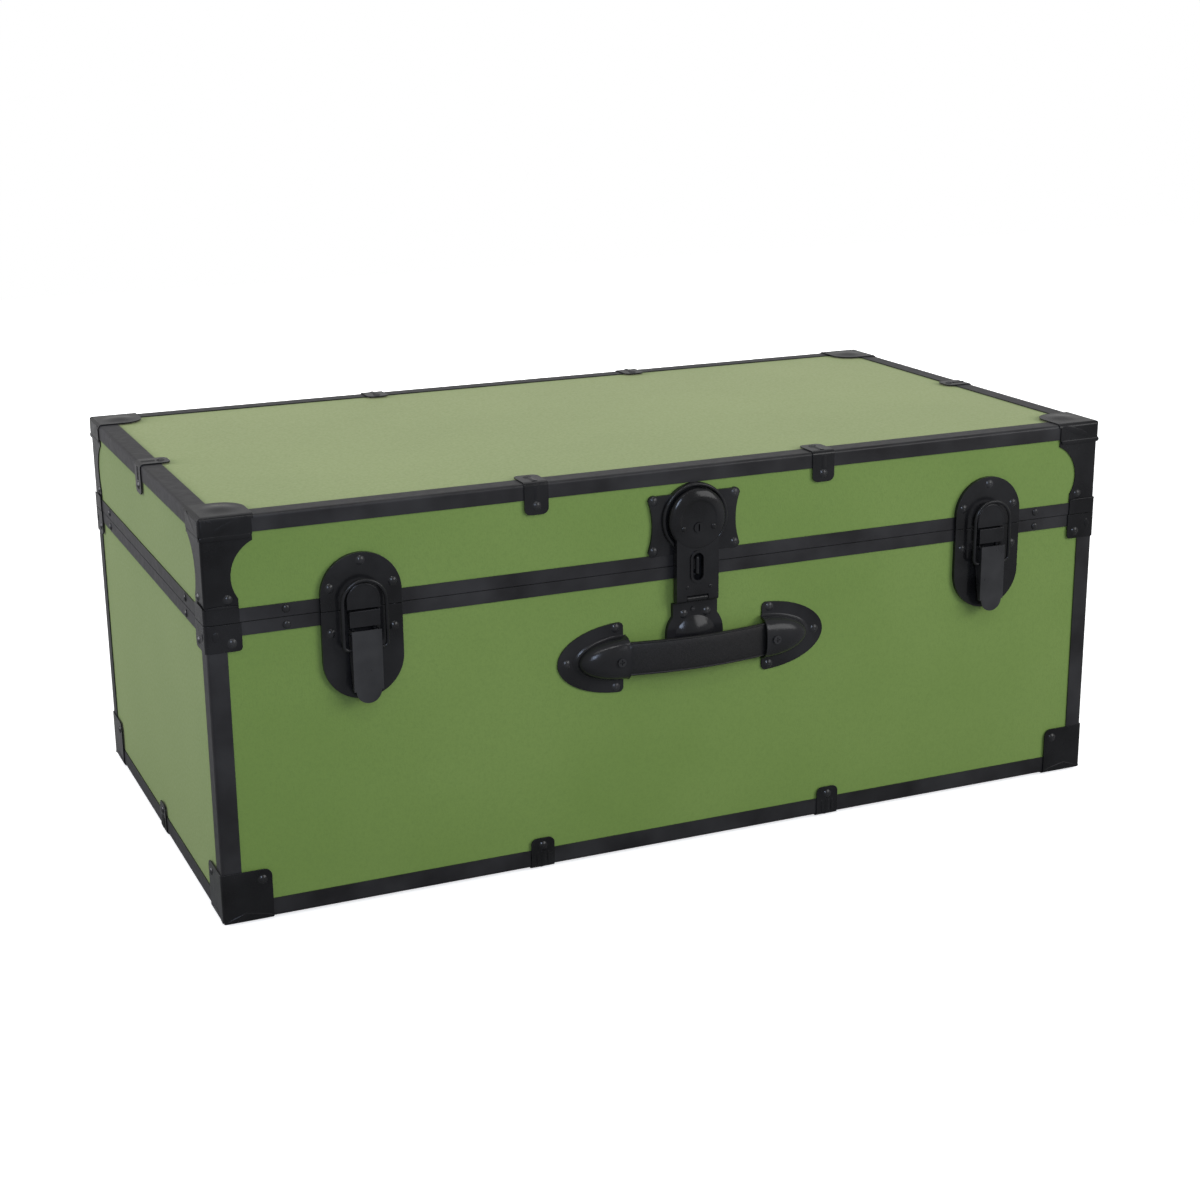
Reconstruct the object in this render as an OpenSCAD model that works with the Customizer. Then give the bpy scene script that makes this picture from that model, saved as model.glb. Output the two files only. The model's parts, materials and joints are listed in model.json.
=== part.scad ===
// Storage trunk: covered boards held by steel bindings, corners and clamps,
// with two lever latches, a hasp lock, a strap handle and hidden back hinges.

/* [Case] */
// Overall width over the corner steel
overall_w = 762; // [500:1:1000]
// Overall depth of the case over the corner steel
overall_d = 400; // [280:1:600]
// Overall height from the floor to the top of the corner steel
overall_h = 311; // [260:1:450]
// Height of the lid from its joint with the base to the top
lid_h = 78.5; // [70:0.5:120]
// Open gap between the lid rim and the base rim
seam_gap = 0.5; // [0.3:0.1:1.5]
// Thickness of every board
board_t = 8; // [5:0.5:12]
// Thickness of the paper lining
lining_t = 0.8; // [0.4:0.1:1.5]
// Thickness of the sheet steel trims
steel_t = 1; // [0.6:0.1:1.4]
// Radius of the boards' outer edges
edge_r = 1.5; // [0.5:0.5:3]

/* [Bindings] */
// Width of the lid's top binding on the top board
top_leg = 16; // [12:0.5:22]
// Width of the lid's top binding on the walls
top_wall_leg = 12.5; // [10:0.5:16]
// Height of each rim binding beside the joint
rim_leg = 10; // [6:0.5:11]
// Width of the bottom binding on each face
bottom_leg = 14.3; // [10:0.1:18]
// Width of the upright bindings on each face
upright_leg = 15; // [10:0.5:18]
// Rise of the guide strips above the base rim
guide_rise = 5; // [3:0.5:8]
// Clearance between the guide strips and the lid rim
guide_gap = 0.5; // [0.3:0.1:1.5]

/* [Corners] */
// Width of the lid and bottom corners on each face
corner_w = 38.5; // [34:0.5:44]
// Width of the lid corners on the top board
corner_top_w = 40; // [36:0.5:46]
// Depth of the lid corners on the top board
corner_top_d = 42; // [36:0.5:48]
// Rounding of the lid corners' inner point on the top board
corner_top_r = 18; // [8:1:24]
// Radius of the scallop in a lid corner
scallop_r = 28.5; // [24:0.5:30]
// Distance of the scallop's centre from the case's edge
scallop_in = 50; // [46:0.5:54]
// Height of the scallop's centre above the joint
scallop_up = 33; // [28:0.5:36]
// Width of a lid corner beside the joint
corner_foot_w = 26; // [22.5:0.5:30]
// Width of the base rim corners
rim_corner_w = 27; // [20:0.5:32]
// Height of the base rim corners below the joint
rim_corner_h = 20.5; // [14:0.5:30]
// Height of the bottom corners
bottom_corner_h = 42; // [34:0.5:50]
// Rounding of the bottom corners' inner points
bottom_corner_r = 6; // [2:0.5:10]
// Height of the foot under each bottom corner
foot_h = 1.6; // [1.2:0.1:4]
// Radius of the foot's flat end
foot_r = 8; // [5:0.5:10]
// Distance of a foot's middle from the case's edges
foot_in = 20; // [16:0.5:24]

/* [Edge clamps] */
// Width of an edge clamp
clamp_w = 19.4; // [14:0.2:24]
// Length of a clamp's leg on each face
clamp_leg = 25; // [20:0.5:32]
// Rounding of a clamp's ends
clamp_r = 5; // [2:0.5:7]
// Distance of the clamps from the middle of the long edges
clamp_x = 127; // [60:1:220]
// Distance of the lid's front right clamp from the middle
clamp_front_right_x = 117; // [60:1:220]
// Distance of a clamp rivet from the end of its leg
clamp_rivet_in = 6.5; // [5:0.5:9]
// Width of the raised rib along a clamp
clamp_rib_w = 5; // [2:0.5:8]
// Height of the raised rib along a clamp
clamp_rib_h = 0.7; // [0.3:0.1:1.5]

/* [Rivets] */
// Head radius of the corner and clamp rivets
rivet_r = 3.6; // [2.5:0.1:5]
// Head height of the corner and clamp rivets
rivet_h = 1.3; // [0.6:0.1:2]
// Head height of the rivets under the case
under_rivet_h = 0.9; // [0.5:0.1:1.1]
// Head radius of the small rim rivets
small_rivet_r = 2.4; // [1.5:0.1:3]
// Shank radius of every rivet
shank_r = 1.3; // [0.8:0.1:1.4]
// Radial clearance round every rivet shank
shank_gap = 0.05; // [0.02:0.01:0.2]
// Distance of a lid corner rivet from the case's edge
lid_rivet_in = 18.3; // [14:0.1:20]
// Height of a lid corner rivet above the joint
lid_rivet_up = 17.3; // [15:0.1:30]
// Distance of a base rim corner rivet from the case's edge
rim_rivet_in = 19.5; // [15:0.1:22]
// Depth of a base rim corner rivet below the joint
rim_rivet_down = 14.7; // [12:0.1:16]
// Distance of a bottom corner rivet from the case's edge
bottom_rivet_in = 31; // [24:0.5:33]
// Height of a bottom corner rivet above the floor
bottom_rivet_up = 34; // [26:0.5:36]
// Distance of the small rim rivets from the case's side edges
small_rivet_in = 60; // [45:1:100]
// Distance of the small rim rivets from the joint
small_rivet_off = 6; // [4:0.5:8]

/* [Front fittings] */
// Sideways offset of the front fittings from the middle
fittings_x = 3.5; // [-10:0.5:10]
// Distance of each latch from the lock
latch_x = 269; // [180:1:310]
// Width of a latch plate
latch_w = 61.5; // [50:0.5:70]
// Top of a latch plate above the joint
latch_up = 41.5; // [34:0.5:60]
// Foot of a latch plate below the joint
latch_down = 69; // [60:0.5:90]
// Height of a latch plate's face above the board
latch_rise = 3.6; // [3.4:0.1:5]
// Width of the keeper that the bail hooks over
keeper_w = 25.5; // [20:0.5:28]
// Top of the keeper above the joint
keeper_up = 19.6; // [16:0.5:22]
// Height of the keeper above the latch plate
keeper_h = 5; // [3:0.1:5.2]
// Width of the latch lever
lever_w = 22.5; // [18:0.5:24]
// Depth of the lever pin below the joint
lever_pin_down = 17; // [15:0.5:20]
// Distance of the lever pin in front of the latch plate
lever_pin_out = 6.2; // [5.8:0.1:7]
// Length of the lever below its pin, down to its shoulders
lever_len = 43.5; // [36:0.5:50]
// Radius of the lever's round finger tongue
tongue_r = 9.6; // [7:0.1:10.5]
// Radius of the bail wire
bail_wire_r = 1.35; // [1:0.05:1.6]
// Outer width of the bail
bail_w = 36; // [33:0.5:40]
// Top of the bail above the joint
bail_up = 23.6; // [22:0.1:26]
// Length of the bail's arms below the joint
bail_down = 30.5; // [28:0.5:34]

/* [Lock] */
// Radius of the raised ring round the hasp
ring_r = 28; // [26:0.5:32]
// Height of the ring's centre above the joint
lock_up = 37; // [34:0.5:40]
// Height of the ring above the board
ring_h = 5; // [3.5:0.1:5.5]
// Radius of the hasp's round head
hasp_r = 24; // [20:0.5:26]
// Width of the hasp's neck
hasp_w = 36; // [30:0.5:38]
// Height of the hasp neck's face above the board
hasp_h = 8.6; // [8:0.1:10]
// Extra height of the hasp's domed head
hasp_dome_h = 1.8; // [1:0.1:3]
// Depth of the hasp pin below the joint
hasp_pin_down = 26.5; // [24:0.5:30]
// Half distance between the lock plate's ears
ear_x = 34.7; // [32:0.1:38]
// Height of the upper ears above the lock's lower ears
ear_z = 39.5; // [36:0.1:44]
// Radius of the key plug
plug_r = 4.1; // [3:0.1:5]
// Width of the padlock slot over its rim
slot_w = 13; // [11:0.5:14]
// Length of the padlock slot over its rim
slot_l = 26; // [22:0.5:28]

/* [Handle] */
// Half length of the handle over its end caps
handle_half = 115.5; // [105:0.5:130]
// Distance of the handle's middle below the joint between lid and base
handle_down = 67.5; // [67.5:0.5:110]
// Length of an end cap over its ears
cap_l = 55; // [46:0.5:60]
// Height of an end cap over its ears
cap_h = 56.6; // [50:0.2:62]
// Radius of the cap's dome at its mouth
dome_r = 17; // [16:0.5:19]
// Distance of the dome's far end from the cap's tip
dome_in = 16; // [12:0.5:20]
// Height of the dome above the board at its mouth
dome_h = 14; // [13:0.1:16]
// Width of the strap
strap_w = 27; // [22:0.5:27.5]
// Thickness of the strap
strap_t = 4; // [3:0.1:4.4]
// Height of the strap's outer face above the board at the cap mouths
strap_end_h = 10; // [9:0.1:11]
// Height of the strap's outer face above the board at its middle
strap_mid_h = 17; // [15:0.5:24]

/* [Back hinges] */
// Distance of each hinge from the middle
hinge_x = 215; // [120:1:300]
// Length of a hinge
hinge_l = 64; // [40:1:90]
// Height of each hinge leaf
hinge_leaf_h = 25; // [22:0.5:34]
// Radius of the hinge knuckles
knuckle_r = 2.8; // [2.4:0.1:3.4]
// Radius of the hinge pins
hinge_pin_r = 1.3; // [1:0.1:1.5]
// Number of knuckles on each hinge
knuckles = 5; // [3:2:9]

/* [Hidden] */
$fn = 48;
tiny = 0.01;
running_gap = 0.05;
side_gap = 0.3;
board_c = "#6b8446";
steel_c = "#2b2a2c";
lining_c = "#d8d2c4";
strap_c = "#262528";

// Half sizes and heights of the boards, inside two layers of steel
seam_z = overall_h - lid_h;
handle_z = seam_z - handle_down;
board_hw = overall_w / 2 - 2 * steel_t;
board_hd = overall_d / 2 - 2 * steel_t;
board_top = overall_h - 2 * steel_t;
board_low = foot_h + 2 * steel_t;
inner_hw = board_hw - board_t;
inner_hd = board_hd - board_t;
lid_low = seam_z + seam_gap / 2;
base_high = seam_z - seam_gap / 2;
lid_board_low = lid_low + steel_t;
base_board_high = base_high - steel_t;
lid_strip_high = seam_z + rim_leg;
base_strip_low = seam_z - rim_leg;
// Reaches of the lever and of the back hinges, which set the middle of the case
front_reach = board_hd + strap_mid_h;
hinge_axis_out = 2 * steel_t + 3;
back_reach = board_hd + hinge_axis_out + knuckle_r;
case_y = (front_reach - back_reach) / 2;

// Square with rounded corners, its lower left corner at the origin
module round_rect(w, h, r) {
    translate([r, 0]) square([w - 2 * r, h]);
    translate([0, r]) square([w, h - 2 * r]);
    for (x = [r, w - r], y = [r, h - r]) translate([x, y]) circle(r);
}

// The closed case out to a steel layer: 0 boards, 1 bindings, 2 corners and clamps
module layer_box(n) {
    grow = n * steel_t;
    r = edge_r + grow;
    w = 2 * (board_hw + grow);
    d = 2 * (board_hd + grow);
    h = board_top - board_low + 2 * grow;
    translate([-w / 2, -d / 2, board_low - grow]) intersection() {
        linear_extrude(h) round_rect(w, d, r);
        translate([0, d, 0]) rotate([90, 0, 0]) linear_extrude(d) round_rect(w, h, r);
        rotate([90, 0, 90]) linear_extrude(w) round_rect(d, h, r);
    }
}

// The one sheet of steel that makes layer n, or two sheets from layer n - 1
module skin(n, sheets = 1) {
    difference() {
        layer_box(n);
        layer_box(n - sheets);
    }
}

// Box between two corner points
module span(low, high) {
    translate(low) cube(high - low);
}

// Everything is drawn round the middle of the case and then set in place
module case_place() {
    translate([0, case_y, 0]) children();
}

// Repeats a front left piece on chosen sides: 1 keeps it, -1 carries it across
module mirrored(sides_x = [1, -1], sides_y = [1, -1]) {
    for (sx = sides_x, sy = sides_y) scale_side(sx, sy) children();
}

module scale_side(sx, sy) {
    mirror([sx < 0 ? 1 : 0, 0, 0]) mirror([0, sy < 0 ? 1 : 0, 0]) children();
}

// Frames with +Z pointing out of a face, at a point on it
module on_front(x, z, out) {
    translate([x, -board_hd - out, z]) rotate([90, 0, 0]) children();
}
module on_back(x, z, out) {
    translate([x, board_hd + out, z]) rotate([-90, 0, 0]) children();
}
module on_left(y, z, out) {
    translate([-board_hw - out, y, z]) rotate([0, -90, 0]) children();
}
module on_right(y, z, out) {
    translate([board_hw + out, y, z]) rotate([0, 90, 0]) children();
}
module on_top(x, y, out) {
    translate([x, y, board_top + out]) children();
}
module under(x, y, out) {
    translate([x, y, board_low - out]) rotate([180, 0, 0]) children();
}

// Faces that a fitting or a rivet sits on
FRONT = 0;
BACK = 1;
LEFT = 2;
RIGHT = 3;
TOP = 4;
UNDER = 5;
module at_face(face, a, b, out) {
    if (face == FRONT) on_front(a, b, out) children();
    if (face == BACK) on_back(a, b, out) children();
    if (face == LEFT) on_left(a, b, out) children();
    if (face == RIGHT) on_right(a, b, out) children();
    if (face == TOP) on_top(a, b, out) children();
    if (face == UNDER) under(a, b, out) children();
}

// Rivets as [face, place along it, place up or across it, height of their seat over the board,
// head radius, head height], worked out from the pieces that they hold
out_hw = overall_w / 2;
out_hd = overall_d / 2;
corner_seat = 2 * steel_t;
clamp_seat = 2 * steel_t;
lid_clamp_z = overall_h - clamp_leg + clamp_rivet_in;
base_clamp_z = foot_h + clamp_leg - clamp_rivet_in;
clamp_flat_in = clamp_leg - clamp_rivet_in;
LID_FRONT_CLAMPS = [-clamp_x, clamp_front_right_x];
CLAMPS_X = [-clamp_x, clamp_x];
LATCHES_X = [fittings_x - latch_x, fittings_x + latch_x];
HINGES_X = [-hinge_x, hinge_x];

function wall_rivets(inset, z, seat, r, h) = [
    for (s = [-1, 1]) each [
        [FRONT, s * (out_hw - inset), z, seat, r, h], [BACK, s * (out_hw - inset), z, seat, r, h],
        [LEFT, s * (out_hd - inset), z, seat, r, h], [RIGHT, s * (out_hd - inset), z, seat, r, h]]];
function clamp_rivets(front_x, z, flat_face, flat_h) = concat(
    [for (x = front_x) each [[FRONT, x, z, clamp_seat, rivet_r, rivet_h],
        [flat_face, x, -(out_hd - clamp_flat_in) * (flat_face == UNDER ? -1 : 1), clamp_seat, rivet_r, flat_h]]],
    [for (x = CLAMPS_X) each [[BACK, x, z, clamp_seat, rivet_r, rivet_h],
        [flat_face, x, (out_hd - clamp_flat_in) * (flat_face == UNDER ? -1 : 1), clamp_seat, rivet_r, flat_h]]],
    [[LEFT, 0, z, clamp_seat, rivet_r, rivet_h], [RIGHT, 0, z, clamp_seat, rivet_r, rivet_h],
     [flat_face, clamp_flat_in - out_hw, 0, clamp_seat, rivet_r, flat_h],
     [flat_face, out_hw - clamp_flat_in, 0, clamp_seat, rivet_r, flat_h]]);

latch_rivet_x = latch_w / 2 - 6.8;
latch_rivet_up = 17;
latch_top_rivet_in = 6;
lock_sheet_t = 2.2;
ear_low = seam_z + 13.5;
cap_sheet_t = 1.2;
cap_rivet_in = 7.5;
cap_ear_rivet_x = cap_l - 6.5;
cap_ear_rivet_z = cap_h / 2 - 4.4;
hinge_leaf_t = 1.2;
hinge_rivet_z = hinge_leaf_h - 8;
hinge_rivet_x = hinge_l / 2 - 10;
hasp_base_rivet_x = 9.9;
hasp_base_rivet_z = seam_z - 39;
hasp_base_h = 4;

LID_RIVETS = concat(
    wall_rivets(lid_rivet_in, seam_z + lid_rivet_up, steel_t, rivet_r, rivet_h),
    wall_rivets(small_rivet_in, seam_z + small_rivet_off, steel_t, small_rivet_r, rivet_h),
    clamp_rivets(LID_FRONT_CLAMPS, lid_clamp_z, TOP, rivet_h),
    [for (x = LATCHES_X) each [
        [FRONT, x, seam_z + latch_up - latch_top_rivet_in, latch_rise, rivet_r, rivet_h],
        [FRONT, x - latch_rivet_x, seam_z + latch_rivet_up, latch_rise, rivet_r, rivet_h],
        [FRONT, x + latch_rivet_x, seam_z + latch_rivet_up, latch_rise, rivet_r, rivet_h]]],
    [for (s = [-1, 1], z = [ear_low, ear_low + ear_z])
        [FRONT, fittings_x + s * ear_x, z, lock_sheet_t, rivet_r, rivet_h]],
    [for (x = HINGES_X, s = [-1, 0, 1])
        [BACK, x + s * hinge_rivet_x, seam_z + hinge_rivet_z, hinge_leaf_t, rivet_r, rivet_h]]);
BASE_RIVETS = concat(
    wall_rivets(rim_rivet_in, seam_z - rim_rivet_down, corner_seat, rivet_r, rivet_h),
    wall_rivets(bottom_rivet_in, bottom_rivet_up, corner_seat, rivet_r, rivet_h),
    wall_rivets(small_rivet_in, seam_z - small_rivet_off, steel_t, small_rivet_r, rivet_h),
    clamp_rivets(CLAMPS_X, base_clamp_z, UNDER, under_rivet_h),
    [for (x = LATCHES_X, s = [-1, 1])
        [FRONT, x + s * latch_rivet_x, seam_z - latch_rivet_up, latch_rise, rivet_r, rivet_h]],
    [for (s = [-1, 1])
        [FRONT, fittings_x + s * hasp_base_rivet_x, hasp_base_rivet_z, hasp_base_h, rivet_r, rivet_h]],
    [for (s = [-1, 1]) each [
        [FRONT, fittings_x + s * (handle_half - cap_rivet_in), handle_z, cap_sheet_t, rivet_r, rivet_h],
        [FRONT, fittings_x + s * (handle_half - cap_ear_rivet_x), handle_z + cap_ear_rivet_z,
            cap_sheet_t, rivet_r, rivet_h],
        [FRONT, fittings_x + s * (handle_half - cap_ear_rivet_x), handle_z - cap_ear_rivet_z,
            cap_sheet_t, rivet_r, rivet_h]]],
    [for (x = HINGES_X, s = [-1, 0, 1])
        [BACK, x + s * hinge_rivet_x, seam_z - hinge_rivet_z, hinge_leaf_t, rivet_r, rivet_h]]);

// Holes through steel, board and lining for a list of rivets
module drills(rivets) {
    depth = board_t + lining_t + 1;
    reach = 12;
    for (q = rivets) at_face(q[0], q[1], q[2], 0)
        translate([0, 0, -depth]) cylinder(r = shank_r + shank_gap, h = depth + reach);
}

// Domed heads on shanks that reach the inner face of the lining
module rivets(list) {
    for (q = list) at_face(q[0], q[1], q[2], q[3]) rivet(q[4], q[5], q[3] + board_t + lining_t);
}
module rivet(head_r, head_h, shank_l) {
    ball_r = (head_r * head_r + head_h * head_h) / (2 * head_h);
    rotate_extrude() {
        intersection() {
            translate([0, head_h - ball_r]) circle(ball_r);
            square([head_r, head_h]);
        }
        translate([0, -shank_l]) square([shank_r, shank_l]);
    }
}
module lid_rivets() {
    color(steel_c) case_place() rivets(LID_RIVETS);
}
module base_rivets() {
    color(steel_c) case_place() rivets(BASE_RIVETS);
}

// A board of the lid or base: a block trimmed to the case's rounded outside
module board(low, high, rivets) {
    color(board_c) case_place() difference() {
        intersection() {
            layer_box(0);
            span(low, high);
        }
        drills(rivets);
    }
}
lid_roof = board_top - board_t;
base_floor = board_low + board_t;
module lid_top_panel() board([-board_hw, -board_hd, lid_roof], [board_hw, board_hd, board_top], LID_RIVETS);
module lid_front_panel() board([-board_hw, -board_hd, lid_board_low], [board_hw, -inner_hd, lid_roof], LID_RIVETS);
module lid_back_panel() board([-board_hw, inner_hd, lid_board_low], [board_hw, board_hd, lid_roof], LID_RIVETS);
module lid_left_panel() board([-board_hw, -inner_hd, lid_board_low], [-inner_hw, inner_hd, lid_roof], LID_RIVETS);
module lid_right_panel() board([inner_hw, -inner_hd, lid_board_low], [board_hw, inner_hd, lid_roof], LID_RIVETS);
module base_bottom_panel() board([-board_hw, -board_hd, board_low], [board_hw, board_hd, base_floor], BASE_RIVETS);
module base_front_panel() {
    difference() {
        board([-board_hw, -board_hd, base_floor], [board_hw, -inner_hd, base_board_high], BASE_RIVETS);
        case_place() on_front(fittings_x, handle_z, 0) screw_bores(screw_r + shank_gap);
    }
}
module base_back_panel() {
    board([-board_hw, inner_hd, base_floor], [board_hw, board_hd, base_board_high], BASE_RIVETS);
}
module base_left_panel() {
    board([-board_hw, -inner_hd, base_floor], [-inner_hw, inner_hd, base_board_high], BASE_RIVETS);
}
module base_right_panel() {
    board([inner_hw, -inner_hd, base_floor], [board_hw, inner_hd, base_board_high], BASE_RIVETS);
}

// Paper linings: thin open boxes inside the boards, ending at the rim bindings and guide strips
module lining(low, high, floor_low, floor_high, rivets) {
    color(lining_c) case_place() difference() {
        span([-inner_hw, -inner_hd, low], [inner_hw, inner_hd, high]);
        span([lining_t - inner_hw, lining_t - inner_hd, floor_low], [inner_hw - lining_t, inner_hd - lining_t, floor_high]);
        drills(rivets);
    }
}
module lid_lining() lining(lid_strip_high, lid_roof, lid_strip_high - 1, lid_roof - lining_t, LID_RIVETS);
module base_lining() lining(base_floor, base_strip_low, base_floor + lining_t, base_strip_low + 1, BASE_RIVETS);

// Steel bindings. Each ring of binding is cut into four strips by mitres at the corners
face_hw = board_hw + steel_t;
face_hd = board_hd + steel_t;
far = overall_w + overall_d;
mitre_gap = 0.2;
module mitred() {
    past = 10;
    deep = 60;
    long_side = [[-face_hw - past, -face_hd - past], [face_hw + past, -face_hd - past],
        [face_hw - deep, deep - face_hd], [deep - face_hw, deep - face_hd]];
    short_side = [[-face_hw - past, -face_hd - past], [deep - face_hw, deep - face_hd],
        [deep - face_hw, face_hd - deep], [-face_hw - past, face_hd + past]];
    mirrored([1]) intersection() {
        children();
        translate([0, -mitre_gap / 2, 0]) linear_extrude(overall_h) polygon(long_side);
    }
    mirrored([1, -1], [1]) intersection() {
        children();
        translate([-mitre_gap / 2, 0, 0]) linear_extrude(overall_h) polygon(short_side);
    }
}
module frame_block(out, leg, low, high) {
    difference() {
        span([-out[0], -out[1], low], [out[0], out[1], high]);
        span([leg - out[0], leg - out[1], low - 1], [out[0] - leg, out[1] - leg, high + 1]);
    }
}
module edge_binding(flat_low, flat_high, wall_low, wall_high, flat_leg) {
    color(steel_c) case_place() mitred() intersection() {
        skin(1);
        union() {
            frame_block([face_hw, face_hd], flat_leg, flat_low, flat_high);
            frame_block([out_hw, out_hd], 2 * steel_t + edge_r, wall_low, wall_high);
        }
    }
}
module lid_top_binding() {
    edge_binding(board_top, overall_h, board_top + steel_t - top_wall_leg, overall_h, top_leg);
}
module base_bottom_binding() {
    edge_binding(0, board_low, 0, board_low - steel_t + bottom_leg, bottom_leg);
}

// U-shaped bindings round the edges of the boards at the joint
module rim_binding(web_low, leg_low, leg_high, rivets) {
    color(steel_c) case_place() difference() {
        mitred() {
            intersection() {
                skin(1);
                span([-far, -far, leg_low], [far, far, leg_high]);
            }
            frame_block([board_hw, board_hd], board_t + steel_t, web_low, web_low + steel_t);
            frame_block([inner_hw, inner_hd], steel_t, leg_low, leg_high);
        }
        drills(rivets);
    }
}
module lid_rim_binding() rim_binding(lid_low, lid_low, lid_strip_high, LID_RIVETS);
module base_rim_binding() rim_binding(base_high - steel_t, base_strip_low, base_high, BASE_RIVETS);

// Strips inside the base rim that stand up within the lid rim and guide it home
module base_guide_strips() {
    foot_out = [inner_hw - steel_t, inner_hd - steel_t];
    top_out = [inner_hw - steel_t - guide_gap, inner_hd - steel_t - guide_gap];
    color(steel_c) case_place() difference() {
        mitred() {
            frame_block(foot_out, steel_t + guide_gap, base_strip_low, base_high);
            frame_block(top_out, steel_t, base_high - tiny, base_high + guide_rise);
        }
        drills(BASE_RIVETS);
    }
}

// Angles on the four upright edges of the base
module upright_bindings() {
    color(steel_c) case_place() mirrored() difference() {
        intersection() {
            skin(1);
            span([-far, -far, board_low - steel_t + bottom_leg],
                [upright_leg - face_hw, upright_leg - face_hd, base_strip_low]);
        }
        drills(BASE_RIVETS);
    }
}

// Outline of a lid corner's wall, from the case's upright edge and the lid's lower edge
module lid_corner_wall() {
    difference() {
        square([corner_w, overall_h - lid_low]);
        translate([scallop_in, seam_z + scallop_up - lid_low]) circle(scallop_r);
        translate([corner_foot_w, -1]) square([corner_w, seam_z + scallop_up - lid_low + 1]);
    }
}

// Flat outline with one rounded inner corner
module one_round(w, h, r) {
    square([w - r, h]);
    square([w, h - r]);
    translate([w - r, h - r]) circle(r);
}

// Stands a wall outline against the front and the left wall, from a height up
module wall_masks(z) {
    translate([-out_hw, -out_hd, z]) {
        mask_front() children();
        mirror([1, -1, 0]) mask_front() children();
    }
}
module mask_front() {
    translate([0, 2 * steel_t + edge_r, 0]) rotate([90, 0, 0]) linear_extrude(2 * steel_t + edge_r + 1) children();
}

// Pressed lid corner: it steps in between the bindings that it covers
lid_step_low = lid_strip_high + 0.3;
lid_step_high = board_top + steel_t - top_wall_leg - 0.3;
module lid_corner() {
    difference() {
        intersection() {
            layer_box(2);
            union() {
                wall_masks(lid_low) lid_corner_wall();
                translate([-out_hw, -out_hd, board_top - edge_r])
                    linear_extrude(overall_h) one_round(corner_top_w, corner_top_d, corner_top_r);
            }
        }
        layer_box(0);
        difference() {
            span([-far, -far, lid_step_low + steel_t], [far, far, lid_step_high - steel_t]);
            layer_box(1);
        }
        intersection() {
            layer_box(1);
            union() {
                span([-far, -far, 0], [far, far, lid_step_low]);
                span([-far, -far, lid_step_high], [far, far, overall_h]);
            }
        }
        drills(LID_RIVETS);
    }
}
module lid_corner_at(sx, sy) {
    color(steel_c) case_place() scale_side(sx, sy) lid_corner();
}
module lid_front_left_corner() lid_corner_at(1, 1);
module lid_front_right_corner() lid_corner_at(-1, 1);
module lid_back_left_corner() lid_corner_at(1, -1);
module lid_back_right_corner() lid_corner_at(-1, -1);

// Angle plate round each upright edge just under the joint
module rim_corner() {
    difference() {
        intersection() {
            skin(2);
            wall_masks(base_high - rim_corner_h) translate([0, rim_corner_h]) mirror([0, 1])
                one_round(rim_corner_w, rim_corner_h, 3);
        }
        drills(BASE_RIVETS);
    }
}
module rim_corner_at(sx, sy) {
    color(steel_c) case_place() scale_side(sx, sy) rim_corner();
}
module rim_front_left_corner() rim_corner_at(1, 1);
module rim_front_right_corner() rim_corner_at(-1, 1);
module rim_back_left_corner() rim_corner_at(1, -1);
module rim_back_right_corner() rim_corner_at(-1, -1);

// Bottom corner with the shallow flat-ended foot that the trunk stands on
module foot_corner() {
    difference() {
        union() {
            intersection() {
                skin(2);
                union() {
                    wall_masks(0) one_round(corner_w, bottom_corner_h, bottom_corner_r);
                    translate([-out_hw, -out_hd, 0]) linear_extrude(board_low + edge_r)
                        one_round(corner_w, corner_w, bottom_corner_r);
                }
            }
            translate([foot_in - out_hw, foot_in - out_hd, 0])
                cylinder(r1 = foot_r, r2 = foot_r + 3 * foot_h, h = foot_h + steel_t / 2);
        }
        drills(BASE_RIVETS);
    }
}
module foot_corner_at(sx, sy) {
    color(steel_c) case_place() scale_side(sx, sy) foot_corner();
}
module foot_front_left_corner() foot_corner_at(1, 1);
module foot_front_right_corner() foot_corner_at(-1, 1);
module foot_back_left_corner() foot_corner_at(1, -1);
module foot_back_right_corner() foot_corner_at(-1, -1);

// Clamps bent over the edges of the lid's top and the base's bottom, in a frame whose
// origin is on the case's outer edge, +Y inwards over the flat face and +Z out of it
module clamp_mask() {
    mask_t = 2 * steel_t + edge_r;
    translate([-clamp_w / 2, -clamp_r, -mask_t]) linear_extrude(mask_t + 1)
        round_rect(clamp_w, clamp_leg + clamp_r, clamp_r);
}
module clamp_rib() {
    rib_ball = (clamp_rib_w * clamp_rib_w / 4 + clamp_rib_h * clamp_rib_h) / (2 * clamp_rib_h);
    rib_start = 2 * steel_t + edge_r;
    rib_l = clamp_flat_in - rivet_r - 1 - rib_start;
    translate([0, rib_start + rib_l, 0]) rotate([90, 0, 0]) linear_extrude(rib_l) intersection() {
        translate([0, clamp_rib_h - rib_ball]) circle(rib_ball);
        translate([-clamp_rib_w / 2, -steel_t / 2]) square([clamp_rib_w, steel_t / 2 + clamp_rib_h]);
    }
}
module both_legs() {
    children();
    mirror([0, 1, 1]) children();
}
module at_edges(front_x, edge_z, flip) {
    for (x = front_x) translate([x, -out_hd, edge_z]) mirror([0, 0, flip]) children();
    for (x = CLAMPS_X) mirror([0, 1, 0]) translate([x, -out_hd, edge_z]) mirror([0, 0, flip]) children();
    mirrored([1, -1], [1]) translate([-out_hw, 0, edge_z]) mirror([0, 0, flip]) rotate([0, 0, -90]) children();
}
module edge_clamps(front_x, edge_z, flip, rivets) {
    color(steel_c) case_place() difference() {
        union() {
            intersection() {
                skin(2);
                at_edges(front_x, edge_z, flip) both_legs() clamp_mask();
            }
            at_edges(front_x, edge_z, flip) both_legs() clamp_rib();
        }
        drills(rivets);
    }
}
module lid_edge_clamps() edge_clamps(LID_FRONT_CLAMPS, overall_h, 0, LID_RIVETS);
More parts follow.
